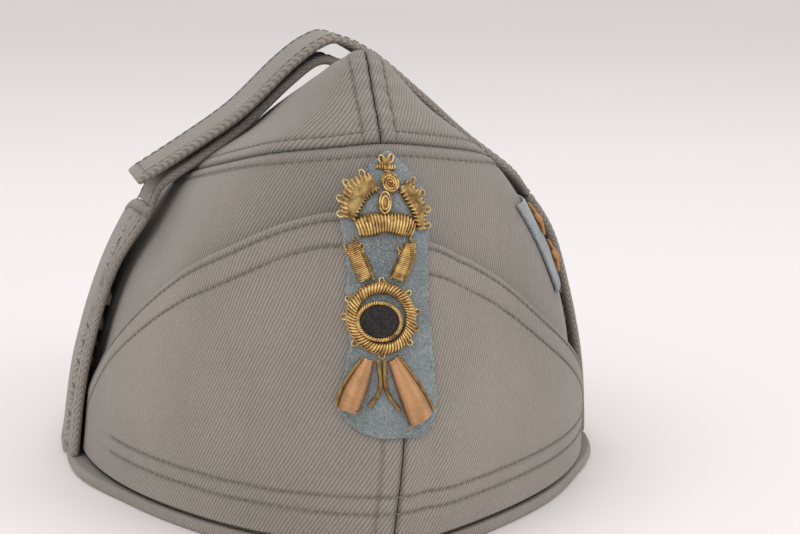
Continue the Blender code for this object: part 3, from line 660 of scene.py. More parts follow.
def cloth_material(name, light, dark, settings, painted_light_scale=1.0):
    """Grey-green twill with painted shade: darker in the grooves between its ribs and along its seams, stitch
    grooves and hems.
    """
    material, tree, shader = new_material(name, 0.92)
    shader.inputs["Sheen Weight"].default_value = 0.18
    shader.inputs["Sheen Roughness"].default_value = 0.55
    shader.inputs["Specular IOR Level"].default_value = 0.2
    uv = tree.nodes.new("ShaderNodeUVMap")
    uv.uv_map = "cloth"
    place = tree.nodes.new("ShaderNodeTexCoord")
    twill = group_node(
        material, bpy.data.node_groups["Twill Ribs"], uv.outputs["UV"],
        pitch=settings.rib_pitch, angle=settings.rib_angle,
    )
    mottle = group_node(
        material, bpy.data.node_groups["Wear And Mottle"], place.outputs["Object"], scale=24.0
    )
    # Painted light and shade: both colours are scaled per part of the cap.
    base = mix_colour(tree, mottle.outputs["Broad"], [c * painted_light_scale for c in dark], [c * painted_light_scale for c in light])
    # Painted shade from the weave: colour scaled from 0.50 in its grooves to 0.96 on its rib tops.
    shade = math_node(tree, "MULTIPLY_ADD", twill.outputs["Shade"], 0.46, 0.50)
    speckle = math_node(tree, "MULTIPLY_ADD", mottle.outputs["Fine"], 0.20, 0.90)
    # Painted shade: the mask scales the colour down by up to 42 % in seams, stitch grooves and hems.
    groove_shade = tree.nodes.new("ShaderNodeAttribute")
    groove_shade.attribute_name = "groove_shade"
    painted_groove_shade = math_node(tree, "MULTIPLY_ADD", groove_shade.outputs["Fac"], -0.42, 1.0)
    factor = math_node(tree, "MULTIPLY", math_node(tree, "MULTIPLY", shade, speckle), painted_groove_shade)
    scaled = tree.nodes.new("ShaderNodeVectorMath")
    scaled.operation = "SCALE"
    tree.links.new(base, scaled.inputs[0])
    tree.links.new(factor, scaled.inputs["Scale"])
    tree.links.new(scaled.outputs[0], shader.inputs["Base Color"])
    bump(tree, shader, twill.outputs["Height"], 0.55, 0.00028)
    return material


def felt_material(name, light, dark):
    """Worn blue-grey felt, matted and a little lighter where it is fuzzy."""
    material, tree, shader = new_material(name, 0.97)
    shader.inputs["Sheen Weight"].default_value = 0.35
    shader.inputs["Sheen Roughness"].default_value = 0.6
    place = tree.nodes.new("ShaderNodeTexCoord")
    mottle = group_node(
        material, bpy.data.node_groups["Wear And Mottle"], place.outputs["Object"], scale=90.0
    )
    fibre = noise_node(tree, place.outputs["Object"], 2400.0, 3.0, 0.8)
    base = mix_colour(tree, mottle.outputs["Broad"], dark, light)
    lit = mix_colour(tree, range_node(tree, fibre, 0.5, 0.78), base, [min(1.0, c * 2.1) for c in light])
    tree.links.new(lit, shader.inputs["Base Color"])
    bump(tree, shader, fibre, 0.8, 0.0004)
    return material


def metal_thread(name, bright, tarnish, roughness, scale=420.0, amount=(0.42, 0.68)):
    """Metal thread, bright where it is rubbed and brown where it has tarnished."""
    material, tree, shader = new_material(name, roughness, 1.0)
    place = tree.nodes.new("ShaderNodeTexCoord")
    stain = noise_node(tree, place.outputs["Object"], scale, 3.0, 0.6)
    colour = mix_colour(tree, range_node(tree, stain, *amount), bright, tarnish)
    tree.links.new(colour, shader.inputs["Base Color"])
    fine = noise_node(tree, place.outputs["Object"], 5200.0, 2.0, 0.6)
    dulled = range_node(tree, stain, 0.3, 0.8, roughness, min(1.0, roughness + 0.25))
    tree.links.new(dulled, shader.inputs["Roughness"])
    bump(tree, shader, fine, 0.25, 0.00008)
    return material


def velvet_material():
    material, tree, shader = new_material("black_velvet_pile", 0.9)
    shader.inputs["Sheen Weight"].default_value = 0.25
    shader.inputs["Sheen Roughness"].default_value = 0.35
    place = tree.nodes.new("ShaderNodeTexCoord")
    pile = noise_node(tree, place.outputs["Object"], 1500.0, 3.0, 0.7)
    brushed = range_node(tree, pile, 0.45, 0.75)
    colour = mix_colour(tree, brushed, (0.008, 0.006, 0.006), (0.055, 0.045, 0.045))
    tree.links.new(colour, shader.inputs["Base Color"])
    bump(tree, shader, pile, 0.9, 0.0004)
    return material


def plain_metal(name, colour, roughness):
    material, tree, shader = new_material(name, roughness, 1.0)
    place = tree.nodes.new("ShaderNodeTexCoord")
    stain = noise_node(tree, place.outputs["Object"], 300.0, 3.0)
    shade = mix_colour(tree, range_node(tree, stain, 0.4, 0.7), colour, [c * 0.55 for c in colour])
    tree.links.new(shade, shader.inputs["Base Color"])
    scratch = noise_node(tree, place.outputs["Object"], 3000.0, 2.0)
    bump(tree, shader, scratch, 0.2, 0.0001)
    return material


# Geometry Nodes trees.


def node_tree(name, sockets):
    tree = bpy.data.node_groups.new(name, "GeometryNodeTree")
    tree.interface.new_socket(name="Geometry", in_out="INPUT", socket_type="NodeSocketGeometry")
    for socket, kind, value in sockets:
        made = tree.interface.new_socket(name=socket, in_out="INPUT", socket_type=kind)
        if value is not None:
            made.default_value = value
    tree.interface.new_socket(name="Geometry", in_out="OUTPUT", socket_type="NodeSocketGeometry")
    return tree, tree.nodes.new("NodeGroupInput"), tree.nodes.new("NodeGroupOutput")


def finish_tree(tree, source, sink, geometry):
    smooth = tree.nodes.new("GeometryNodeSetShadeSmooth")
    realize = tree.nodes.new("GeometryNodeRealizeInstances")
    paint = tree.nodes.new("GeometryNodeSetMaterial")
    tree.links.new(geometry, realize.inputs["Geometry"])
    tree.links.new(realize.outputs["Geometry"], smooth.inputs["Geometry"])
    tree.links.new(smooth.outputs["Geometry"], paint.inputs["Geometry"])
    tree.links.new(source.outputs["Material"], paint.inputs["Material"])
    tree.links.new(paint.outputs["Geometry"], sink.inputs["Geometry"])


def wire_tree():
    """Turns paths into round wire or thread."""
    sockets = [
        ("Radius", "NodeSocketFloat", 0.00025),
        ("Sides", "NodeSocketInt", 6),
        ("Material", "NodeSocketMaterial", None),
    ]
    tree, source, sink = node_tree("Wire Along Paths", sockets)
    line = tree.nodes.new("GeometryNodeMeshToCurve")
    ring = tree.nodes.new("GeometryNodeCurvePrimitiveCircle")
    sweep = tree.nodes.new("GeometryNodeCurveToMesh")
    sweep.inputs["Fill Caps"].default_value = True
    tree.links.new(source.outputs["Geometry"], line.inputs["Mesh"])
    tree.links.new(source.outputs["Radius"], ring.inputs["Radius"])
    tree.links.new(source.outputs["Sides"], ring.inputs["Resolution"])
    tree.links.new(line.outputs["Curve"], sweep.inputs["Curve"])
    tree.links.new(ring.outputs["Curve"], sweep.inputs["Profile Curve"])
    finish_tree(tree, source, sink, sweep.outputs["Mesh"])
    return tree


def stitch_tree():
    """Sets short threads one after another along paths."""
    sockets = [
        ("Spacing", "NodeSocketFloat", 0.0028),
        ("Length", "NodeSocketFloat", 0.0021),
        ("Thickness", "NodeSocketFloat", 0.00045),
        ("Material", "NodeSocketMaterial", None),
    ]
    tree, source, sink = node_tree("Stitches Along Paths", sockets)
    line = tree.nodes.new("GeometryNodeMeshToCurve")
    points = tree.nodes.new("GeometryNodeCurveToPoints")
    points.mode = "LENGTH"
    ball = tree.nodes.new("GeometryNodeMeshUVSphere")
    ball.inputs["Segments"].default_value = 6
    ball.inputs["Rings"].default_value = 5
    ball.inputs["Radius"].default_value = 0.5
    size = tree.nodes.new("ShaderNodeCombineXYZ")
    place = tree.nodes.new("GeometryNodeInstanceOnPoints")
    links = tree.links
    links.new(source.outputs["Geometry"], line.inputs["Mesh"])
    links.new(line.outputs["Curve"], points.inputs["Curve"])
    links.new(source.outputs["Spacing"], points.inputs["Length"])
    for axis, name in (("X", "Thickness"), ("Y", "Thickness"), ("Z", "Length")):
        links.new(source.outputs[name], size.inputs[axis])
    links.new(points.outputs["Points"], place.inputs["Points"])
    links.new(points.outputs["Rotation"], place.inputs["Rotation"])
    links.new(ball.outputs["Mesh"], place.inputs["Instance"])
    links.new(size.outputs["Vector"], place.inputs["Scale"])
    finish_tree(tree, source, sink, place.outputs["Instances"])
    return tree


def fuzz_tree():
    """Scatters short fibres over a surface, leaning every way."""
    sockets = [
        ("Density", "NodeSocketFloat", 4000000.0),
        ("Length", "NodeSocketFloat", 0.0009),
        ("Thickness", "NodeSocketFloat", 0.00006),
        ("Lean", "NodeSocketFloat", 1.2),
        ("Seed", "NodeSocketInt", SEED),
        ("Material", "NodeSocketMaterial", None),
    ]
    tree, source, sink = node_tree("Loose Fibres", sockets)
    links = tree.links
    scatter = tree.nodes.new("GeometryNodeDistributePointsOnFaces")
    fibre = tree.nodes.new("GeometryNodeMeshCone")
    fibre.inputs["Vertices"].default_value = 3
    fibre.inputs["Radius Top"].default_value = 0.15
    fibre.inputs["Radius Bottom"].default_value = 0.5
    fibre.inputs["Depth"].default_value = 1.0
    lean = tree.nodes.new("FunctionNodeRandomValue")
    lean.data_type = "FLOAT_VECTOR"
    stretch = tree.nodes.new("FunctionNodeRandomValue")
    size = tree.nodes.new("ShaderNodeCombineXYZ")
    place = tree.nodes.new("GeometryNodeInstanceOnPoints")
    turn = tree.nodes.new("FunctionNodeRotateRotation")
    turn.rotation_space = "LOCAL"
    back = tree.nodes.new("ShaderNodeMath")
    back.operation = "MULTIPLY"
    back.inputs[1].default_value = -1.0
    grow = tree.nodes.new("ShaderNodeMath")
    grow.operation = "MULTIPLY"
    stretch.inputs[2].default_value = 0.4
    stretch.inputs[3].default_value = 1.3
    links.new(source.outputs["Geometry"], scatter.inputs["Mesh"])
    links.new(source.outputs["Density"], scatter.inputs["Density"])
    links.new(source.outputs["Seed"], scatter.inputs["Seed"])
    links.new(source.outputs["Lean"], back.inputs[0])
    links.new(back.outputs[0], lean.inputs[0])
    links.new(source.outputs["Lean"], lean.inputs[1])
    links.new(source.outputs["Seed"], lean.inputs["Seed"])
    links.new(source.outputs["Length"], grow.inputs[0])
    links.new(stretch.outputs[1], grow.inputs[1])
    for axis in ("X", "Y"):
        links.new(source.outputs["Thickness"], size.inputs[axis])
    links.new(grow.outputs[0], size.inputs["Z"])
    links.new(scatter.outputs["Points"], place.inputs["Points"])
    links.new(scatter.outputs["Rotation"], turn.inputs["Rotation"])
    links.new(lean.outputs[0], turn.inputs["Rotate By"])
    links.new(turn.outputs["Rotation"], place.inputs["Rotation"])
    links.new(fibre.outputs["Mesh"], place.inputs["Instance"])
    links.new(size.outputs["Vector"], place.inputs["Scale"])
    finish_tree(tree, source, sink, place.outputs["Instances"])
    return tree


def grown(name, base, tree_name, **values):
    """The plain mesh that a tree makes of an object, which is then removed."""
    tree = bpy.data.node_groups[tree_name]
    modifier = base.modifiers.new("shape", "NODES")
    modifier.node_group = tree
    for item in tree.interface.items_tree:
        key = item.name.lower()
        if item.in_out == "INPUT" and key in values:
            modifier[item.identifier] = values[key]
    bpy.context.view_layer.update()
    evaluated = base.evaluated_get(bpy.context.evaluated_depsgraph_get())
    mesh = bpy.data.meshes.new_from_object(evaluated)
    base.modifiers.remove(modifier)
    old = base.data
    bpy.data.objects.remove(base)
    if old.users == 0:
        bpy.data.meshes.remove(old)
    mesh.name = name
    if not mesh.materials:
        mesh.materials.append(values["material"])
    obj = bpy.data.objects.new(name, mesh)
    bpy.context.scene.collection.objects.link(obj)
    return obj


def path_object(paths):
    """One mesh of lines, in metres; a path is (points in mm, closed)."""
    points = []
    edges = []
    for path, closed in paths:
        start = len(points)
        placed = settled(path)
        points += placed.tolist()
        edges += [(start + i, start + i + 1) for i in range(len(placed) - 1)]
        if closed:
            edges.append((start + len(placed) - 1, start))
    mesh = bpy.data.meshes.new("paths")
    mesh.from_pydata(points, edges, [])
    obj = bpy.data.objects.new("paths", mesh)
    bpy.context.scene.collection.objects.link(obj)
    return obj


def wires(name, paths, radius, material, sides=6):
    """Round wire along paths; radius in mm."""
    return grown(
        name, path_object(paths), "Wire Along Paths", radius=radius * 0.001, sides=sides, material=material
    )


def stitches(name, paths, settings, material):
    return grown(
        name, path_object([(path, False) for path in paths]), "Stitches Along Paths",
        spacing=settings.stitch_spacing, length=settings.stitch_length,
        thickness=settings.stitch_thickness, material=material,
    )


def keep(obj, slot, *nodes, material=None):
    """Rides a finished piece on the cap, gives it the material where one is given and hides the solids that
    it stands in for.
    """
    if material is not None:
        obj.data.materials.clear()
        obj.data.materials.append(material)
    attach(obj, "root")
    if nodes:
        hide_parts(*nodes)
    return obj


def paint_node(name, material):
    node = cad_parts[name]
    node.data.materials.clear()
    node.data.materials.append(material)
    for polygon in node.data.polygons:
        polygon.material_index = 0
    node.data.shade_smooth()
    node.data.set_sharp_from_angle(angle=math.radians(50))


def material(name):
    return bpy.data.materials[name]


# Cloth pieces.


def lower_fold():
    """The rolled hem that carries the ear flaps."""
    part = np.linspace(0, 1, 150)
    right = np.concatenate([0.5 * part**1.3, 0.5 + 0.5 * np.linspace(0, 1, 60)[1:]])
    stations = np.concatenate([-right[1:-1][::-1], right])
    widening = smooth_step(*FOLD_WIDENING, 2 * np.abs(stations))
    depth = FOLD_DEPTHS[0] + (FOLD_DEPTHS[1] - FOLD_DEPTHS[0]) * widening
    profile = (
        (0.0, 1.4), (0.35, 1.4), (0.70, 1.42), (0.88, 1.7), (0.97, 2.2), (1.0, 2.9), (1.0, 3.6),
        (0.98, 4.2), (0.93, 4.7), (0.80, 4.97), (0.45, 5.0), (0.0, 5.0),
    )
    grid = []
    for share, height in profile:
        uneven = 0.18 * wander(stations * 150, height, 3) * (share > 0.5) * smooth_step(1.5, 3.0, height)
        grid.append(wall(stations, np.full_like(stations, height), FOLD_INSIDE + depth * share + uneven))
    grid = np.stack(grid, 1)
    columns, rows = grid.shape[:2]
    index = np.arange(columns * rows).reshape(columns, rows)
    following = np.roll(index, -1, 0)
    above = np.roll(index, -1, 1)
    both = np.roll(following, -1, 1)
    faces = np.stack([index, following, both, above], -1).reshape(-1, 4)
    closed = np.concatenate([grid, grid[:1]])
    across = arc_lengths(closed, 0)[:, 5] * 0.001
    up = np.append(arc_lengths(grid[:1], 1)[0], 0.0) * 0.001
    up[-1] = up[-2] + 0.0036
    uvs = np.zeros((columns, rows, 4, 2))
    for corner, (step, rise) in enumerate(((0, 0), (1, 0), (1, 1), (0, 1))):
        uvs[:, :, corner, 0] = across[step:columns + step][:, None]
        uvs[:, :, corner, 1] = up[rise:rows + rise][None, :]
    # Painted shade: the top of the hem, where the flaps stand on it, is darkened through the mask.
    worn_and_groove_shaded = np.zeros((columns, rows))
    worn_and_groove_shaded[:, 9:] = 0.35
    return mesh_object(
        "lower_fold_hem", settled(grid.reshape(-1, 3)), faces, uvs.reshape(-1, 2), {"groove_shade": worn_and_groove_shaded.ravel()}
    )


def ring_columns(front, rear):
    right = np.concatenate([0.5 * np.linspace(0, 1, front) ** 1.35, 0.5 + 0.5 * np.linspace(0, 1, rear)[1:]])
    return np.concatenate([-right[1:-1][::-1], right])


def seam_pucker(from_middle, height, seed, reach, pitch, depth):
    """Short wrinkles that a tight seam draws across the cloth beside it."""
    phase = height * 2 * math.pi / pitch + 1.6 * wander(height * 0.22, from_middle * 0.15, seed)
    fade = np.exp(-((from_middle / reach) ** 2))
    strength = 0.6 + 0.4 * wander(height * 0.3, 1.0, seed + 2)
    return depth * np.sin(phase + from_middle * 0.35) * fade * strength


def crown_band():
    """The body of the cap, from the lower edge up to its seam."""
    stations = ring_columns(170, 60)
    top = BAND_TOP - SEAM_HALF_GAP_LEVEL
    count = 62
    levels = top * (1 - (1 - np.linspace(0, 1, count)) ** 1.15)
    u, level = np.meshgrid(stations, levels, indexing="ij")
    plain = plain_crown(u, level)
    below_seam = arc_lengths(plain, 1)
    below_seam = below_seam[:, -1:] - below_seam
    from_middle = np.abs(plain[..., 0])
    relief = -0.55 * groove(below_seam, 0.0, 0.7) - 0.28 * groove(below_seam, 3.4, 0.45)
    relief += 0.16 * groove(below_seam, 1.7, 1.0)
    relief += 0.22 * wander(plain[..., 1] * 0.12, plain[..., 2] * 0.2, 5)
    relief += 0.35 * wander(plain[..., 1] * 0.05 + plain[..., 2] * 0.09, plain[..., 0] * 0.05, 9)
    relief += seam_pucker(below_seam, u * 260, 4, 5.0, 5.2, 0.10) * (u > -0.3) * (u < 0.3)
    fade = smooth_step(0.0, 0.4, level)
    outer = crown(u, level, relief * fade)
    inner = crown(u, level, -WALL)
    outer[:, 0] = wall(stations, np.full_like(stations, LOWER_EDGE), 0.0)
    inner[:, 0] = wall(stations, np.full_like(stations, LOWER_EDGE), -WALL)
    # Painted shade along the seam and its stitch groove.
    worn_and_groove_shaded = np.clip(groove(below_seam, 0.0, 0.6) + 0.75 * groove(below_seam, 3.4, 0.35), 0, 1)
    obj = cloth_wall("crown_band_twill", outer, inner, ring=True, worn_and_groove_shaded=worn_and_groove_shaded)
    line = crown(stations, level_below(stations, 3.4, -1), 0.12)
    return obj, [line[np.abs(stations) < 0.5]]


def level_below(stations, distance, way):
    """The level this many mm below (-1) or above (1) the horizontal seam."""
    step = 0.05
    beside = plain_crown(stations, BAND_TOP + way * step)
    along = np.linalg.norm(beside - plain_crown(stations, BAND_TOP), axis=-1)
    return BAND_TOP + way * distance * step / along


def crown_panel(side):
    """One half of the top: up over the edge and down into the crease."""
    stations = from_seam(side, 0.0, 1.0, 120, 1.45)
    rear = side * (0.5 + 0.5 * np.linspace(0, 1, 60)[1:])
    stations = np.concatenate([stations, rear]) if side > 0 else np.concatenate([rear[::-1], stations])
    low = BAND_TOP + SEAM_HALF_GAP_LEVEL
    levels = np.concatenate([
        low + (TOP_EDGE - 0.35 - low) * np.linspace(0, 1, 44),
        TOP_EDGE - 0.35 + 0.7 * np.linspace(0, 1, 16)[1:],
        TOP_EDGE + 0.35 + (CREASE_FLOOR - TOP_EDGE - 0.35) * np.linspace(0, 1, 20)[1:],
    ])
    u, level = np.meshgrid(stations, levels, indexing="ij")
    plain = plain_crown(u, level)
    above_seam = arc_lengths(plain, 1)
    from_middle = np.abs(plain[..., 0])
    height = plain[..., 2]
    front = (np.abs(u) < 0.35) * smooth_step(6.6, 5.6, level)
    relief = -0.55 * groove(above_seam, 0.0, 0.7) - 0.28 * groove(above_seam, 3.4, 0.45)
    relief -= 0.6 * groove(from_middle, 0.15, 0.55) * front
    relief -= 0.30 * groove(from_middle, 4.4, 0.45) * front
    relief += 0.35 * groove(from_middle, 2.3, 1.6) * front
    relief += seam_pucker(from_middle, height, 3 + side, 8.0, 3.7, 0.42) * front
    relief += 0.3 * wander(plain[..., 1] * 0.09, height * 0.16, 8 + side)
    relief = relief * smooth_step(CREASE_FLOOR, 7.0, level)
    outer = clear_of_middle(crown(u, level, relief), side)
    inner = clear_of_middle(crown(u, level, -WALL), side)
    # Painted shade along the seams and their stitch grooves.
    worn_and_groove_shaded = groove(above_seam, 0.0, 0.6) + 0.75 * groove(above_seam, 3.4, 0.35)
    worn_and_groove_shaded = worn_and_groove_shaded + (groove(from_middle, 0.15, 0.5) + 0.7 * groove(from_middle, 4.4, 0.35)) * front
    word = "left" if side < 0 else "right"
    obj = cloth_wall(f"crown_panel_{word}_twill", outer, inner, worn_and_groove_shaded=np.clip(worn_and_groove_shaded, 0, 1))
    seam_line = crown(stations, level_below(stations, 3.4, 1), 0.12)
    beside = np.linspace(BAND_TOP + 0.35, TOP_EDGE - 0.35, 30)
    turn = solve(lambda t: side * plain_crown(side * t, beside)[..., 0], np.full_like(beside, 4.4), 0.0, 0.3)
    middle_line = crown(side * turn, beside, 0.12)
    return obj, [seam_line, middle_line]


def front_flap(side):
    """One half of the turned-up front."""
    stations = from_seam(side, 0.0, FLAP_PARTS[-1], 118, 1.35)
    turn = 2 * np.abs(stations)
    top = flap_top(turn, side)
    length = top - FLAP_BOTTOM
    places = edge_rows(length, 0.5, FLAP_THICKNESS / 2, 82)
    share = places / length[:, None]
    turn = turn[:, None] + np.zeros_like(share)
    u = stations[:, None] + np.zeros_like(share)
    height = FLAP_BOTTOM + places
    level = level_at(u, height)
    plain = plain_crown(u, level)
    rise = arc_lengths(plain, 1)
    from_top = rise[:, -1:] - rise
    from_middle = np.abs(plain[..., 0])
    lift = flap_lift(turn, share)
    grooves = groove(from_top, 2.0, 0.42) + groove(from_top, 8.4, 0.45)
    hems = (groove(rise, 7.7, 0.5) + groove(rise, 12.0, 0.5)) * smooth_step(0.93, 0.55, turn)
    seam = groove(from_middle, 0.15, 0.6)
    beside = groove(from_middle, 4.6, 0.5) * (side < 0) * smooth_step(60, 30, height)
    relief = -0.26 * grooves - 0.22 * hems - 0.5 * seam - 0.28 * beside
    relief += 0.12 * groove(from_top, 5.2, 2.4)
    relief += seam_pucker(from_middle, height, 11 + side, 6.0, 6.5, 0.10)
    relief += seam_pucker(from_top, u * 240, 13 + side, 4.5, 5.5, 0.08)
    relief += 0.3 * wander(plain[..., 0] * 0.07, height * 0.09, 12 + side)
    thickness = FLAP_THICKNESS * rolled(from_top, FLAP_THICKNESS / 2) * rolled(rise + 0.15, 0.6)
    middle = lift + FLAP_THICKNESS / 2
    relief = relief * smooth_step(0, 1.2, from_top)
    outer = clear_of_middle(crown(u, level, middle + thickness / 2 + relief), side)
    inner = clear_of_middle(crown(u, level, middle - thickness / 2), side)
    # Painted shade in the stitch grooves, the hems and the middle seam.
    worn_and_groove_shaded = np.clip(0.8 * grooves + 0.7 * hems + seam + 0.7 * beside, 0, 1)
    word = "left" if side < 0 else "right"
    obj = cloth_wall(f"front_flap_{word}_twill", outer, inner, worn_and_groove_shaded=worn_and_groove_shaded)
    lines = []
    turns = 2 * np.abs(stations)
    tops = flap_top(turns, side)
    for down in (2.0, 8.4):
        height_line = tops - down * 0.97
        part = (height_line - FLAP_BOTTOM) / (tops - FLAP_BOTTOM)
        lifts = flap_lift(turns, part) + FLAP_THICKNESS + 0.02
        lines.append(crown(stations, level_at(stations, height_line), lifts))
    for up in (7.7, 12.0):
        height_line = np.full_like(stations, FLAP_BOTTOM + up)
        part = up / (tops - FLAP_BOTTOM)
        kept = (turns < 0.72) & (part < 0.8)
        lifts = flap_lift(turns, part) + FLAP_THICKNESS + 0.02
        lines.append(crown(stations, level_at(stations, height_line), lifts)[kept])
    return obj, [line for line in lines if len(line) > 2]


def ear_flap(side):
    """A flap that covers the side and back, with its rolled front and top edges."""
    rolled_parts = (0, 0.0004, 0.0014, 0.003, 0.0055)
    part_line = np.concatenate([rolled_parts, 0.0085 + 0.9915 * np.linspace(0, 1, 116) ** 1.1])
    if side < 0:
        part_line = part_line[::-1]
    top = table_value(EAR_TOP_PARTS, EAR_TOPS[side], part_line)
    length = top - EAR_BOTTOM
    places = edge_rows(length, 0.0, FLAP_THICKNESS / 2, 58)
    share = places / length[:, None]
    part = part_line[:, None] + np.zeros_like(share)
    u, height = ear_place(side, part, share)
    level = level_at(u, height)
    plain = plain_crown(u, level)
    from_top = arc_lengths(plain, 1)
    from_top = from_top[:, -1:] - from_top
    across = arc_lengths(plain, 0)
    from_edge = across if side > 0 else across[-1:] - across
    grooves = np.maximum(groove(from_top, 3.0, 0.45), groove(from_edge, 3.0, 0.45))
    relief = -0.26 * grooves + 0.10 * groove(from_top, 1.4, 1.2)
    relief += 0.35 * wander(plain[..., 1] * 0.06, height * 0.08, 21 + side)
    relief += 0.18 * wander(plain[..., 1] * 0.2, height * 0.15, 23 + side)
    relief = relief * smooth_step(0, 1.4, np.minimum(from_top, from_edge))
    thickness = FLAP_THICKNESS * rolled(from_top, FLAP_THICKNESS / 2) * rolled(from_edge, FLAP_THICKNESS / 2)
    middle = ear_lift(part) + FLAP_THICKNESS / 2
    outer = crown(u, level, middle + thickness / 2 + relief)
    inner = crown(u, level, middle - thickness / 2)
    low = EAR_BOTTOM + np.zeros_like(part_line)
    outer[:, 0] = wall(u[:, 0], low, (middle + thickness / 2)[:, 0])
    inner[:, 0] = wall(u[:, 0], low, (middle - thickness / 2)[:, 0])
    outer, inner = clear_of_middle(outer, side), clear_of_middle(inner, side)
    word = "left" if side < 0 else "right"
    # Painted shade in the stitch grooves along the top and front edges.
    obj = cloth_wall(f"ear_flap_{word}_twill", outer, inner, worn_and_groove_shaded=np.clip(0.8 * grooves, 0, 1))
    lifts = ear_lift(part) + FLAP_THICKNESS + 0.02
    along = np.linspace(0.02, 0.995, 90)
    top_line = table_value(EAR_TOP_PARTS, EAR_TOPS[side], along) - 3.0
    edge_share = (top_line - EAR_BOTTOM) / (top_line + 3.0 - EAR_BOTTOM)
    line_u, line_height = ear_place(side, along, edge_share)
    line = crown(line_u, level_at(line_u, line_height), ear_lift(along) + FLAP_THICKNESS + 0.02)
    rising = np.linspace(0.04, 0.94, 40)
    edge_u, edge_height = ear_place(side, np.full_like(rising, 0.0), rising)
    edge_u = edge_u + side * 3.0 / 460
    edge = crown(edge_u, level_at(edge_u, edge_height), ear_lift(0.01) + FLAP_THICKNESS + 0.02)
    return obj, [line, edge]


def strap_lines(side, rows):
    above = np.array((0, 0, GAP + 0.2))
    middle = FLAP_THICKNESS / 2
    roots = []
    for part in (0.0, STRAP_ROOT_PART):
        u, height = ear_place(side, np.array([part]), np.array([1.0]))
        roots.append(crown(u, level_at(u, height), ear_lift(part) + middle)[0] + above)
    front = np.array([roots[0]] + [(x, y_front, z) for x, z, y_front, _ in rows])
    back = np.array([roots[1]] + [(x, y_back, z) for x, z, _, y_back in rows])
    return front, back


def strap_grid(side, rows, along_count, across_count):
    """Middle points and normals of a strap, with its distances from the end and the edges in mm."""
    front, back = strap_lines(side, rows)
    place = len(rows) * np.linspace(0, 1, along_count)
    place = np.concatenate([place[:-1], len(rows) - np.array((0.02, 0.012, 0.006, 0.002, 0.0))])
    place = np.unique(place)
    edge_a, edge_b = along_rows(front, place), along_rows(back, place)
    side_parts = np.array((0, 0.003, 0.011, 0.024, 0.042))
    middle_parts = np.linspace(0.06, 0.94, across_count)
    cross = np.concatenate([side_parts, middle_parts, 1 - side_parts[::-1]])
    grid = edge_a[:, None] + (edge_b - edge_a)[:, None] * cross[None, :, None]
    ahead = unit(np.gradient(grid, axis=0))
    sideways = unit(np.gradient(grid, axis=1))
    normal = np.cross(sideways, ahead) * -side
    normal = normal * np.where(normal[..., 2:] < 0, -1.0, 1.0)
    along = arc_lengths(grid, 0)
    from_end = along[-1:] - along
    across = arc_lengths(grid, 1)
    from_side = np.minimum(across, across[:, -1:] - across)
    return grid, normal, from_end, from_side


def strap(name, side, rows):
    """A flat strap of doubled cloth with a squared end and topstitched edges."""
    grid, normal, from_end, from_side = strap_grid(side, rows, 110, 22)
    half = STRAP_THICKNESS / 2
    grooves = np.maximum(groove(from_side, 2.6, 0.42), groove(from_end, 2.6, 0.42) * (from_side > 2.4))
    relief = -0.24 * grooves * (from_end > 2.2)
    relief += 0.22 * wander(grid[..., 0] * 0.12, grid[..., 1] * 0.12, 31 + side)
    round_off = rolled(from_side, half) * rolled(from_end, half)
    relief = relief * smooth_step(0, 1.2, np.minimum(from_side, from_end))
    upper = grid + normal * (half * round_off + relief)[..., None]
    lower = grid - normal * (half * round_off)[..., None]
    # Painted shade in the stitch grooves along the edges and the end.
    worn_and_groove_shaded = np.clip(0.8 * grooves * (from_end > 2.2), 0, 1)
    outer = np.swapaxes(upper, 0, 1)
    inner = np.swapaxes(lower, 0, 1)
    worn_and_groove_shaded = np.swapaxes(worn_and_groove_shaded, 0, 1)
    if side < 0:
        outer, inner, worn_and_groove_shaded = outer[::-1], inner[::-1], worn_and_groove_shaded[::-1]
    obj = cloth_wall(name, outer, inner, worn_and_groove_shaded=worn_and_groove_shaded)
    lines = []
    raised = grid + normal * (half + 0.02)
    distance = arc_lengths(grid, 1)
    width = distance[:, -1]
    for target in (np.full_like(width, 2.6), width - 2.6):
        column = [np.interp(reach, steps, np.arange(len(steps))) for reach, steps in zip(target, distance)]
        points = np.array([
            raised[i, int(c)] * (1 - c % 1) + raised[i, min(int(c) + 1, raised.shape[1] - 1)] * (c % 1)
            for i, c in enumerate(column)
        ])
        lines.append(points[from_end[:, 10] > 2.6])
    end_row = int(np.argmin(np.abs(from_end[:, 10] - 2.6)))
    lines.append(raised[end_row, from_side[end_row] > 2.6])
    return obj, lines


# Badge pieces.


def roll_path(rows, spacing):
    """Even places along a roll: x, z, direction and width."""
    fine = along_rows(np.array(rows, float), np.linspace(0, len(rows) - 1, 240))
    distance = np.concatenate([[0], np.cumsum(np.linalg.norm(np.diff(fine[:, :2], axis=0), axis=1))])
    count = max(int(round(distance[-1] / spacing)), 2)
    place = np.linspace(0, distance[-1], count + 1)
    columns = [np.interp(place, distance, fine[:, i]) for i in range(3)]
    direction = unit(np.stack([np.gradient(columns[0]), np.gradient(columns[1])], -1))
    return columns[0], columns[1], direction, columns[2], distance[-1]


def wound(rows, pitch, steps=14, overhang=0.12, slant=0.0):
    """Wire wound round a roll, sunk by half its thickness into what it is wound on."""
    x, z, direction, width, _ = roll_path(rows, pitch / steps)
    angle = np.arange(len(x)) * 2 * math.pi / steps
    reach = width / 2 + overhang
    sideways = reach * np.cos(angle)
    height = width * ROLL_HEIGHT_SHARE + overhang
    rise = np.sin(angle) * np.where(np.sin(angle) > 0, height, 0.15)
    ahead = slant * np.cos(angle)
    px = x + direction[:, 1] * sideways + direction[:, 0] * ahead
    pz = z - direction[:, 0] * sideways + direction[:, 1] * ahead
    return over_badge(px, pz, ROLL_BASE + rise), False


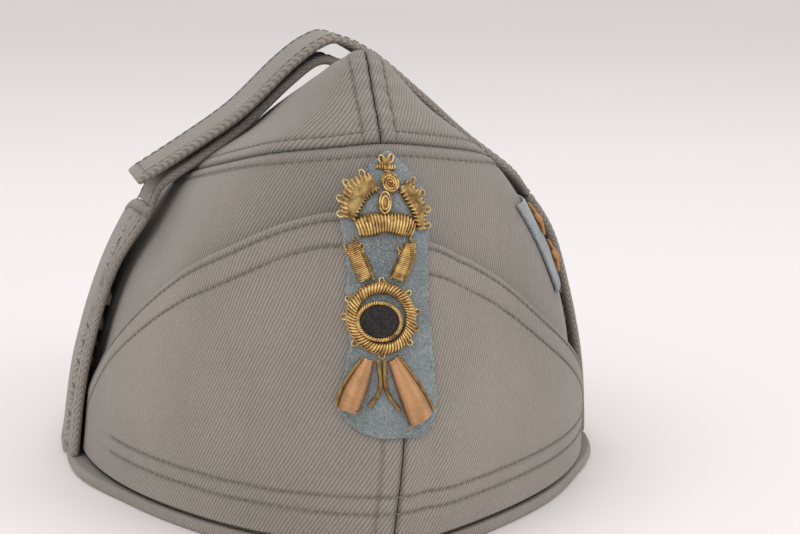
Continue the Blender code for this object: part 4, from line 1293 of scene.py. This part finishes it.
def twisted(rows, radius, pitch, lift, strands=2, closed=False):
    """Strands twisted round one another along a path given as (x, z) rows."""
    if closed:
        x, z, length = rows
        direction = unit(np.stack([np.roll(x, -1) - np.roll(x, 1), np.roll(z, -1) - np.roll(z, 1)], -1))
    else:
        x, z, direction, _, length = roll_path([(a, b, 1.0) for a, b in rows], pitch / 10)
    turns = max(round(length / pitch), 1)
    paths = []
    around = np.linspace(0, 2 * math.pi * turns, len(x), endpoint=not closed)
    for strand in range(strands):
        angle = around + 2 * math.pi * strand / strands
        sideways = radius * np.cos(angle)
        px = x + direction[:, 1] * sideways
        pz = z - direction[:, 0] * sideways
        paths.append((over_badge(px, pz, lift + radius * (1 + np.sin(angle))), closed))
    return paths


def oval(centre, half, count, start=0.0, tilt=0.0):
    angle = start + np.linspace(0, 2 * math.pi, count, endpoint=False)
    x, z = half[0] * np.cos(angle), half[1] * np.sin(angle)
    turned_x = x * math.cos(tilt) - z * math.sin(tilt)
    turned_z = x * math.sin(tilt) + z * math.cos(tilt)
    return centre[0] + turned_x, centre[1] + turned_z


def small_loop(x, z, direction, size, lift=1.3):
    """A picot: one small loop of wire standing out from an edge."""
    centre = (x + math.cos(direction) * size * 0.8, z + math.sin(direction) * size * 0.8)
    px, pz = oval(centre, (size, size * 0.72), 16, tilt=direction)
    return over_badge(px, pz, lift + 0.25 * np.sin(np.linspace(0, 2 * math.pi, 16))), True


def crown_wires():
    """Coils of the badge's crown: base, arches, orb, strut and cross."""
    coils = [wound(CROWN_BASE, 0.74)]
    for rows in (CROWN_ARCH_LEFT, CROWN_ARCH_RIGHT):
        outer = [(x, z, w * 0.55) for x, z, w in shifted(rows, 0.24)]
        inner = [(x, z, w * 0.52) for x, z, w in shifted(rows, -0.24)]
        coils += [wound(outer, 1.0, overhang=0.25), wound(inner, 1.0, overhang=0.2)]
    spiral_turns = 3.2
    angle = np.linspace(0, 2 * math.pi * spiral_turns, 90)
    radius = 0.25 + (ORB_RADIUS - 0.45) * angle / angle[-1]
    dome = 1.0 - 0.55 * (radius / ORB_RADIUS) ** 2
    spiral_x, spiral_z = ORB_CENTRE[0] + radius * np.cos(angle), ORB_CENTRE[1] + radius * np.sin(angle)
    coils.append((over_badge(spiral_x, spiral_z, ROLL_BASE + 0.35 + dome), False))
    for size, rise in ((1.0, 1.1), (0.62, 1.35)):
        px, pz = oval((-1.5, 91.3), (1.35 * size, 2.5 * size), 36, tilt=-0.18)
        coils.append((over_badge(px, pz, ROLL_BASE + rise), True))
    arms = ((-2.2, 99.6, 1.1), (0.3, 99.4, 1.2), (2.6, 99.0, 1.0))
    coils.append(wound(arms, 0.62, overhang=0.0))
    coils.append(small_loop(-0.5, 100.4, math.radians(110), 1.0))
    coils.append(small_loop(1.3, 100.6, math.radians(70), 1.0))
    coils.append(wound(((0.4, 97.6, 1.2), (0.3, 99.2, 1.2)), 0.6, overhang=0.0))
    return coils


def crown_loops():
    """The small loops round the outside of the crown's arches."""
    loops = []
    for rows, way in ((CROWN_ARCH_LEFT, 1), (CROWN_ARCH_RIGHT, -1)):
        fine = along_rows(np.array(rows, float), np.array((0.15, 0.95, 1.75, 2.55)))
        ahead = along_rows(np.array(rows, float), np.array((0.2, 1.0, 1.8, 2.6))) - fine
        for (x, z, width), (dx, dz, _) in zip(fine, ahead):
            turn = math.atan2(dz, dx) + (math.pi / 2 if way > 0 else -math.pi / 2)
            edge_x, edge_z = x + math.cos(turn) * width * 0.42, z + math.sin(turn) * width * 0.42
            loops.append(small_loop(edge_x, edge_z, turn, 0.95))
    return loops


def shifted(rows, share):
    """The same roll moved sideways by a share of its width."""
    rows = np.array(rows, float)
    direction = unit(np.stack([np.gradient(rows[:, 0]), np.gradient(rows[:, 1])], -1))
    moved = rows.copy()
    moved[:, 0] -= direction[:, 1] * rows[:, 2] * share
    moved[:, 1] += direction[:, 0] * rows[:, 2] * share
    return [tuple(row) for row in moved]


def ring_wires():
    """The rope round the disc: slanting strands over the ring, and its loops."""
    strands, turns = 4, 15
    count = 420
    paths = []
    for strand in range(strands):
        around = np.linspace(0, 2 * math.pi, count, endpoint=False)
        angle = turns * around + 2 * math.pi * strand / strands
        reach = RING_WIDTH / 2 + 0.1
        out = 1 + reach * np.cos(angle) / RING_HALF[0]
        x = RING_CENTRE[0] + RING_HALF[0] * out * np.cos(around)
        z = RING_CENTRE[1] + RING_HALF[1] * out * np.sin(around)
        rise = np.sin(angle) * np.where(np.sin(angle) > 0, RING_WIDTH * ROLL_HEIGHT_SHARE + 0.1, 0.1)
        paths.append((over_badge(x, z, ROLL_BASE + rise), True))
    return paths


def ring_loops():
    loops = []
    for degrees in (8, 40, 88, 150, 178, 222, 268, 318, 342):
        turn = math.radians(degrees)
        x = RING_CENTRE[0] + (RING_HALF[0] + 0.9) * math.cos(turn)
        z = RING_CENTRE[1] + (RING_HALF[1] + 0.9) * math.sin(turn)
        loops.append(small_loop(x, z, turn, 0.9, 1.2))
    return loops


def rim_strands():
    """The twisted rim between the disc and the ring."""
    x, z = oval(DISC_CENTRE, (DISC_HALF[0] + 0.25, DISC_HALF[1] + 0.25), 300)
    length = 2 * math.pi * math.sqrt((DISC_HALF[0] ** 2 + DISC_HALF[1] ** 2) / 2)
    return twisted((x, z, length), 0.30, 1.15, ROLL_BASE + 0.55, closed=True)


def felt_piece(name, rows, place, columns, steps, fray, seed, thickness):
    """Felt with a rolled and slightly frayed edge."""
    count = steps * (len(rows) - 1)
    z, left, right = along_rows(np.array(rows, float), np.linspace(0, len(rows) - 1, count + 1)).T
    left = left + fray * wander(z * 2.3, z * 0.9, seed) + 0.4 * fray * wander(z * 7.1, z, seed + 1)
    right = right + fray * wander(z * 2.1, z * 1.1, seed + 2) + 0.4 * fray * wander(z * 6.7, z, seed + 3)
    share = (1 - np.cos(np.linspace(0, math.pi, columns))) / 2
    across = left[None, :] + (right - left)[None, :] * share[:, None]
    heights = np.broadcast_to(z[None, :], across.shape)
    from_side = np.minimum(across - left[None, :], right[None, :] - across)
    from_edge = np.minimum(from_side, np.minimum(heights - z[0], z[-1] - heights) + 0.02)
    body = rolled(np.maximum(from_edge, 0.0) + 0.05, 0.5)
    uneven = 0.06 * wander(across * 1.7, heights * 1.9, seed + 5)
    outer = place(across, heights, thickness / 2 + body * (thickness / 2 + uneven))
    inner = place(across, heights, thickness / 2 - body * thickness / 2)
    return cloth_wall(name, outer, inner)


def star_threads(y, z):
    """Thread wound across the five points of a star."""
    paths = []
    base = PATCH_THICKNESS + GAP
    for point in range(5):
        angle = math.pi / 2 + 2 * math.pi * point / 5
        direction = np.array((math.cos(angle), math.sin(angle)))
        cross = np.array((-direction[1], direction[0]))
        share = np.linspace(0.06, 0.97, 90)
        near = STAR_RADIUS * STAR_INNER_SHARE * 0.62 * (0.6 + share)
        half = np.where(share < 0.42, near, STAR_RADIUS * 0.36 * (1 - share) / 0.58)
        turn = share * 2 * math.pi * 15
        along = direction[None, :] * (share * STAR_RADIUS)[:, None]
        offset = cross[None, :] * (half * np.cos(turn))[:, None]
        places = along + offset + np.array((y, z))
        ridge = STAR_THICKNESS * (1 - share) * (0.5 + 0.5 * np.maximum(np.sin(turn), 0)) + 0.12
        paths.append((over_side(places[:, 0], places[:, 1], base + ridge), False))
    return paths


class ClothSettings(bpy.types.PropertyGroup):
    """Colours and sizes of the cap's cloth and stitching."""

    light: bpy.props.FloatVectorProperty(
        name="Light", description="Colour of the twill where it is worn", subtype="COLOR", size=3,
        default=(0.385, 0.340, 0.298), min=0, max=1,
    )
    dark: bpy.props.FloatVectorProperty(
        name="Dark", description="Colour of the twill in its darker patches", subtype="COLOR", size=3,
        default=(0.315, 0.279, 0.243), min=0, max=1,
    )
    thread: bpy.props.FloatVectorProperty(
        name="Thread", description="Colour of the sewing thread", subtype="COLOR", size=3,
        default=(0.20, 0.18, 0.155), min=0, max=1,
    )
    rib_pitch: bpy.props.FloatProperty(
        name="Rib Pitch", description="Distance between the twill's ribs", default=0.00095,
        min=0.0003, max=0.003, unit="LENGTH", precision=5,
    )
    rib_angle: bpy.props.FloatProperty(
        name="Rib Angle", description="Slope of the twill's ribs", default=math.radians(62), subtype="ANGLE",
    )
    stitch_spacing: bpy.props.FloatProperty(
        name="Stitch Spacing", description="Distance from one stitch to the next", default=0.0026,
        min=0.001, max=0.01, unit="LENGTH", precision=5,
    )
    stitch_length: bpy.props.FloatProperty(
        name="Stitch Length", description="Length of the thread that shows", default=0.0021,
        min=0.0005, max=0.01, unit="LENGTH", precision=5,
    )
    stitch_thickness: bpy.props.FloatProperty(
        name="Stitch Thickness", description="Thickness of the sewing thread", default=0.00036,
        min=0.0001, max=0.002, unit="LENGTH", precision=5,
    )


class BadgeSettings(bpy.types.PropertyGroup):
    """Colours and sizes of the two badges."""

    gold: bpy.props.FloatVectorProperty(
        name="Gold", description="Colour of the rubbed gold wire", subtype="COLOR", size=3,
        default=(0.72, 0.50, 0.20), min=0, max=1,
    )
    tarnish: bpy.props.FloatVectorProperty(
        name="Tarnish", description="Colour of the tarnished wire", subtype="COLOR", size=3,
        default=(0.26, 0.13, 0.055), min=0, max=1,
    )
    copper: bpy.props.FloatVectorProperty(
        name="Copper", description="Colour of the satin-wound thread", subtype="COLOR", size=3,
        default=(0.62, 0.37, 0.20), min=0, max=1,
    )
    felt: bpy.props.FloatVectorProperty(
        name="Felt", description="Colour of the badge's felt", subtype="COLOR", size=3,
        default=(0.235, 0.270, 0.280), min=0, max=1,
    )
    wire_radius: bpy.props.FloatProperty(
        name="Wire Radius", description="Half the thickness of the coiled wire, in millimetres",
        default=0.27, min=0.1, max=0.6,
    )


class StageSettings(bpy.types.PropertyGroup):
    """The floor, the lights and the camera."""

    floor: bpy.props.FloatVectorProperty(
        name="Floor", description="Colour of the floor", subtype="COLOR", size=3,
        default=(0.83, 0.80, 0.795), min=0, max=1,
    )
    light: bpy.props.FloatProperty(name="Key Light", description="Power of the key light", default=5.0, min=0)
    lens: bpy.props.FloatProperty(name="Lens", description="Focal length", default=100.0, min=10, max=400)


class MakeFinishes(bpy.types.Operator):
    """Makes the shared node groups and the materials"""

    bl_idname = "side_cap.finishes"
    bl_label = "Finishes"

    def execute(self, context):
        cloth = context.scene.side_cap_cloth
        badge = context.scene.side_cap_badge
        twill_group()
        mottle_group()
        wire_tree()
        stitch_tree()
        fuzz_tree()
        light, dark = tuple(cloth.light), tuple(cloth.dark)
        # Painted light and shade: one twill in three copies, darker on the crown (0.95) and straps (0.97),
        # lighter on the flaps (1.03).
        cloth_material("twill_crown", light, dark, cloth, 0.95)
        cloth_material("twill_flaps", light, dark, cloth, 1.03)
        cloth_material("twill_straps", light, dark, cloth, 0.97)
        felt = tuple(badge.felt)
        felt_material("blue_grey_felt", felt, tuple(c * 0.55 for c in felt))
        gold, tarnish, copper = tuple(badge.gold), tuple(badge.tarnish), tuple(badge.copper)
        metal_thread("gold_wire", gold, tarnish, 0.30)
        # Painted shade: a darker, duller copy of the gold for the cores under the wound wire, standing for
        # the shade between the coils.
        metal_thread("shaded_gold_core", tuple(c * 0.55 for c in gold), tuple(c * 0.6 for c in tarnish), 0.5)
        metal_thread("copper_satin", copper, tuple(c * 0.72 for c in copper), 0.36, 160.0, (0.45, 0.75))
        metal_thread("dark_cord", tuple(c * 0.6 for c in gold), tarnish, 0.4)
        metal_thread("orange_thread", (0.50, 0.24, 0.06), (0.22, 0.09, 0.03), 0.5, 300.0)
        metal_thread("sewing_thread", tuple(cloth.thread), tuple(c * 0.7 for c in cloth.thread), 0.8, 900.0)
        material("sewing_thread").node_tree.nodes["Principled BSDF"].inputs["Metallic"].default_value = 0.0
        velvet_material()
        plain_metal("dull_snap_metal", (0.35, 0.34, 0.32), 0.45)
        return {"FINISHED"}


class MakeBody(bpy.types.Operator):
    """Makes the lower fold, the crown's band and its two top panels"""

    bl_idname = "side_cap.body"
    bl_label = "Crown And Fold"

    def execute(self, context):
        cloth = context.scene.side_cap_cloth
        keep(lower_fold(), "flap_cloth", "lower_fold", material=material("twill_flaps"))
        band, lines = crown_band()
        keep(band, "crown_cloth", "crown_band", material=material("twill_crown"))
        for side, word in ((-1, "left"), (1, "right")):
            panel, more = crown_panel(side)
            keep(panel, "crown_cloth", "crown_panel_" + word, material=material("twill_crown"))
            lines += more
        keep(stitches("crown_stitches", lines, cloth, material("sewing_thread")), "crown_cloth")
        return {"FINISHED"}


class MakeFlaps(bpy.types.Operator):
    """Makes the turned-up front and the ear flaps with their stitching"""

    bl_idname = "side_cap.flaps"
    bl_label = "Flaps"

    def execute(self, context):
        cloth = context.scene.side_cap_cloth
        lines = []
        for side, word in ((-1, "left"), (1, "right")):
            for make, name in ((front_flap, "front_flap_"), (ear_flap, "ear_flap_")):
                flap, more = make(side)
                keep(flap, "flap_cloth", name + word, material=material("twill_flaps"))
                lines += more
        keep(stitches("flap_stitches", lines, cloth, material("sewing_thread")), "flap_cloth")
        return {"FINISHED"}


class MakeStraps(bpy.types.Operator):
    """Makes the two straps across the top and finishes the snap between them"""

    bl_idname = "side_cap.straps"
    bl_label = "Straps"

    def execute(self, context):
        cloth = context.scene.side_cap_cloth
        lines = []
        for name, side, rows in (("strap_over", 1, STRAP_OVER), ("strap_under", -1, STRAP_UNDER)):
            made, more = strap(name + "_twill", side, rows)
            keep(made, "strap_cloth", name, material=material("twill_straps"))
            lines += more
        keep(stitches("strap_stitches", lines, cloth, material("sewing_thread")), "strap_cloth")
        paint_node("snap", material("dull_snap_metal"))
        return {"FINISHED"}


class MakeFrontBadge(bpy.types.Operator):
    """Makes the front badge: felt, crown, barrels, rope ring, velvet disc, butts and cords"""

    bl_idname = "side_cap.front_badge"
    bl_label = "Front Badge"

    def execute(self, context):
        badge = context.scene.side_cap_badge
        gold, radius = material("gold_wire"), badge.wire_radius
        felt = felt_piece("badge_felt_worn", FELT, over_badge, 60, 14, 0.35, 41, FELT_THICKNESS)
        keep(felt, "badge_felt", "badge_felt", material=material("blue_grey_felt"))
        base = felt.copy()
        base.data = felt.data.copy()
        base.parent = None
        bpy.context.scene.collection.objects.link(base)
        fuzz = grown(
            "badge_felt_fuzz", base, "Loose Fibres", density=6.0e6, length=0.0008, thickness=0.00007,
            lean=1.3, seed=SEED, material=material("blue_grey_felt"),
        )
        keep(fuzz, "badge_felt")
        # The solid cores under the wire take the darker gold: painted shade between the turns of wire.
        for name in ("base", "arch_left", "arch_right", "strut", "cross"):
            paint_node("badge_crown_" + name, material("shaded_gold_core"))
        paint_node("badge_crown_orb", material("shaded_gold_core"))
        for name in ("badge_barrel_left", "badge_barrel_right"):
            paint_node(name, material("shaded_gold_core"))
        for name in ("badge_butt_left", "badge_butt_right"):
            paint_node(name, material("copper_satin"))
        paint_node("badge_ring", material("shaded_gold_core"))
        paint_node("badge_disc", material("black_velvet_pile"))
        for name in ("badge_cord_left", "badge_cord_right"):
            paint_node(name, material("dark_cord"))
        keep(wires("badge_crown_wire", crown_wires(), radius, gold), "bullion_wire")
        keep(wires("badge_crown_loops", crown_loops(), radius * 0.85, gold), "bullion_wire")
        keep(wires("badge_ring_rope", ring_wires(), radius * 1.05, gold), "bullion_wire")
        keep(wires("badge_ring_loops", ring_loops(), radius * 0.9, gold), "bullion_wire")
        keep(wires("badge_disc_rim", rim_strands(), 0.26, gold), "bullion_wire")
        barrels = [wound(rows, 0.46, overhang=0.0, slant=0.3) for rows in (BARREL_LEFT, BARREL_RIGHT)]
        for rows in (BARREL_LEFT, BARREL_RIGHT):
            x1, z1, _ = rows[1]
            collar = ((x1 - 2.2, z1 + 0.4, 1.0), (x1, z1 - 0.3, 1.4), (x1 + 2.2, z1 + 0.5, 1.0))
            barrels.append(wound(collar, 0.6, overhang=0.1))
            barrels.append(small_loop(x1 - 1.6, z1 + 0.8, math.radians(110), 0.8))
            barrels.append(small_loop(x1 + 1.6, z1 + 0.9, math.radians(75), 0.8))
        keep(wires("badge_barrel_wire", barrels, 0.22, gold), "bullion_wire")
        butts = (BUTT_LEFT, BUTT_RIGHT)
        satin = [wound(rows, 0.34, steps=10, overhang=0.0, slant=0.35) for rows in butts]
        keep(wires("badge_butt_satin", satin, 0.19, material("copper_satin"), sides=5), "copper_thread")
        cords = []
        for rows in (CORD_LEFT, CORD_RIGHT):
            cords += twisted([(x, z) for x, z, _ in rows], 0.28, 1.1, ROLL_BASE)
        for top, middle, low in (BARREL_LEFT, BARREL_RIGHT):
            line = [(top[0] + 0.2, top[1] + 1.6), (middle[0] + 1.9, middle[1]), (low[0] + 2.1, low[1] - 0.2)]
            cords += twisted(line, 0.26, 1.0, ROLL_BASE)
        for rows, way in ((BUTT_LEFT, 1), (BUTT_RIGHT, -1)):
            edge = shifted(rows, -0.56 * way)
            cords += twisted([(x, z) for x, z, _ in edge], 0.24, 1.2, ROLL_BASE)
        keep(wires("badge_cord_strands", cords, 0.24, material("dark_cord")), "twisted_cord")
        return {"FINISHED"}


class MakeSideBadge(bpy.types.Operator):
    """Makes the side badge: a felt patch with two stars of wound thread"""

    bl_idname = "side_cap.side_badge"
    bl_label = "Side Badge"

    def execute(self, context):
        patch = felt_piece("side_patch_felt", PATCH_ROWS, over_side, 40, 16, 0.25, 51, PATCH_THICKNESS)
        keep(patch, "badge_felt", "side_patch", material=material("blue_grey_felt"))
        threads = []
        for name, y, z in STARS:
            paint_node(name, material("orange_thread"))
            threads += star_threads(y, z)
        keep(wires("side_star_threads", threads, 0.2, material("orange_thread")), "orange_thread")
        return {"FINISHED"}


class MakeStage(bpy.types.Operator):
    """Sets the pale floor, the soft lights and the camera"""

    bl_idname = "side_cap.stage"
    bl_label = "Stage"

    def execute(self, context):
        stage = context.scene.side_cap_stage
        scene = context.scene
        size = 6.0
        mesh = bpy.data.meshes.new("floor")
        corners = [(-size, -size, 0), (size, -size, 0), (size, size, 0), (-size, size, 0)]
        mesh.from_pydata(corners, [], [(0, 1, 2, 3)])
        floor = bpy.data.objects.new("floor", mesh)
        scene.collection.objects.link(floor)
        paint, tree, shader = new_material("pale_floor", 0.85)
        place = tree.nodes.new("ShaderNodeTexCoord")
        cloud = noise_node(tree, place.outputs["Object"], 3.0, 1.0)
        tone = mix_colour(tree, cloud, tuple(c * 0.97 for c in stage.floor), tuple(stage.floor))
        tree.links.new(tone, shader.inputs["Base Color"])
        mesh.materials.append(paint)
        world = bpy.data.worlds.new("studio")
        world.use_nodes = True
        world.node_tree.nodes["Background"].inputs["Color"].default_value = (1.0, 0.985, 0.98, 1)
        world.node_tree.nodes["Background"].inputs["Strength"].default_value = 0.80
        scene.world = world
        lamps = (
            ("key", (-0.75, -0.75, 0.95), stage.light, 0.9, (0, 0, 0.04)),
            ("fill", (0.95, -0.7, 0.7), stage.light * 0.75, 1.1, (0, 0, 0.05)),
            ("top", (0.1, 0.35, 1.3), stage.light * 0.8, 1.2, (0, 0, 0.05)),
        )
        for name, spot, power, width, target in lamps:
            data = bpy.data.lights.new(name, "AREA")
            data.energy = power
            data.size = width
            lamp = bpy.data.objects.new(name, data)
            lamp.location = spot
            lamp.rotation_euler = (Vector(target) - Vector(spot)).to_track_quat("-Z", "Y").to_euler()
            scene.collection.objects.link(lamp)
        data = bpy.data.cameras.new("camera")
        data.sensor_width = 36.0
        data.lens = stage.lens
        camera = bpy.data.objects.new("camera", data)
        camera.location = (-0.11727, -0.6531, 0.1636)
        camera.rotation_euler = (math.radians(90 - 9.38), 0, math.radians(-12.135))
        scene.collection.objects.link(camera)
        scene.camera = camera
        scene.view_settings.view_transform = "Standard"
        return {"FINISHED"}


class SideCapPanel(bpy.types.Panel):
    """Lists the cap's settings and the steps that make it"""

    bl_idname = "VIEW3D_PT_side_cap"
    bl_label = "Side Cap"
    bl_space_type = "VIEW_3D"
    bl_region_type = "UI"
    bl_category = "Side Cap"

    def draw(self, context):
        layout = self.layout
        for group in ("side_cap_cloth", "side_cap_badge", "side_cap_stage"):
            settings = getattr(context.scene, group)
            box = layout.box()
            for name in settings.bl_rna.properties.keys():
                if name not in ("rna_type", "name"):
                    box.prop(settings, name)
        for step in STEPS:
            layout.operator(step.bl_idname)


STEPS = (MakeFinishes, MakeBody, MakeFlaps, MakeStraps, MakeFrontBadge, MakeSideBadge, MakeStage)
GROUPS = (
    ("side_cap_cloth", ClothSettings),
    ("side_cap_badge", BadgeSettings),
    ("side_cap_stage", StageSettings),
)


def register():
    for name, group in GROUPS:
        bpy.utils.register_class(group)
        setattr(bpy.types.Scene, name, bpy.props.PointerProperty(type=group))
    for step in (*STEPS, SideCapPanel):
        bpy.utils.register_class(step)


def unregister():
    for step in reversed((*STEPS, SideCapPanel)):
        bpy.utils.unregister_class(step)
    for name, group in reversed(GROUPS):
        delattr(bpy.types.Scene, name)
        bpy.utils.unregister_class(group)


def main():
    register()
    for step in STEPS:
        area, name = step.bl_idname.split(".")
        getattr(getattr(bpy.ops, area), name)()


if __name__ == "__main__":
    main()
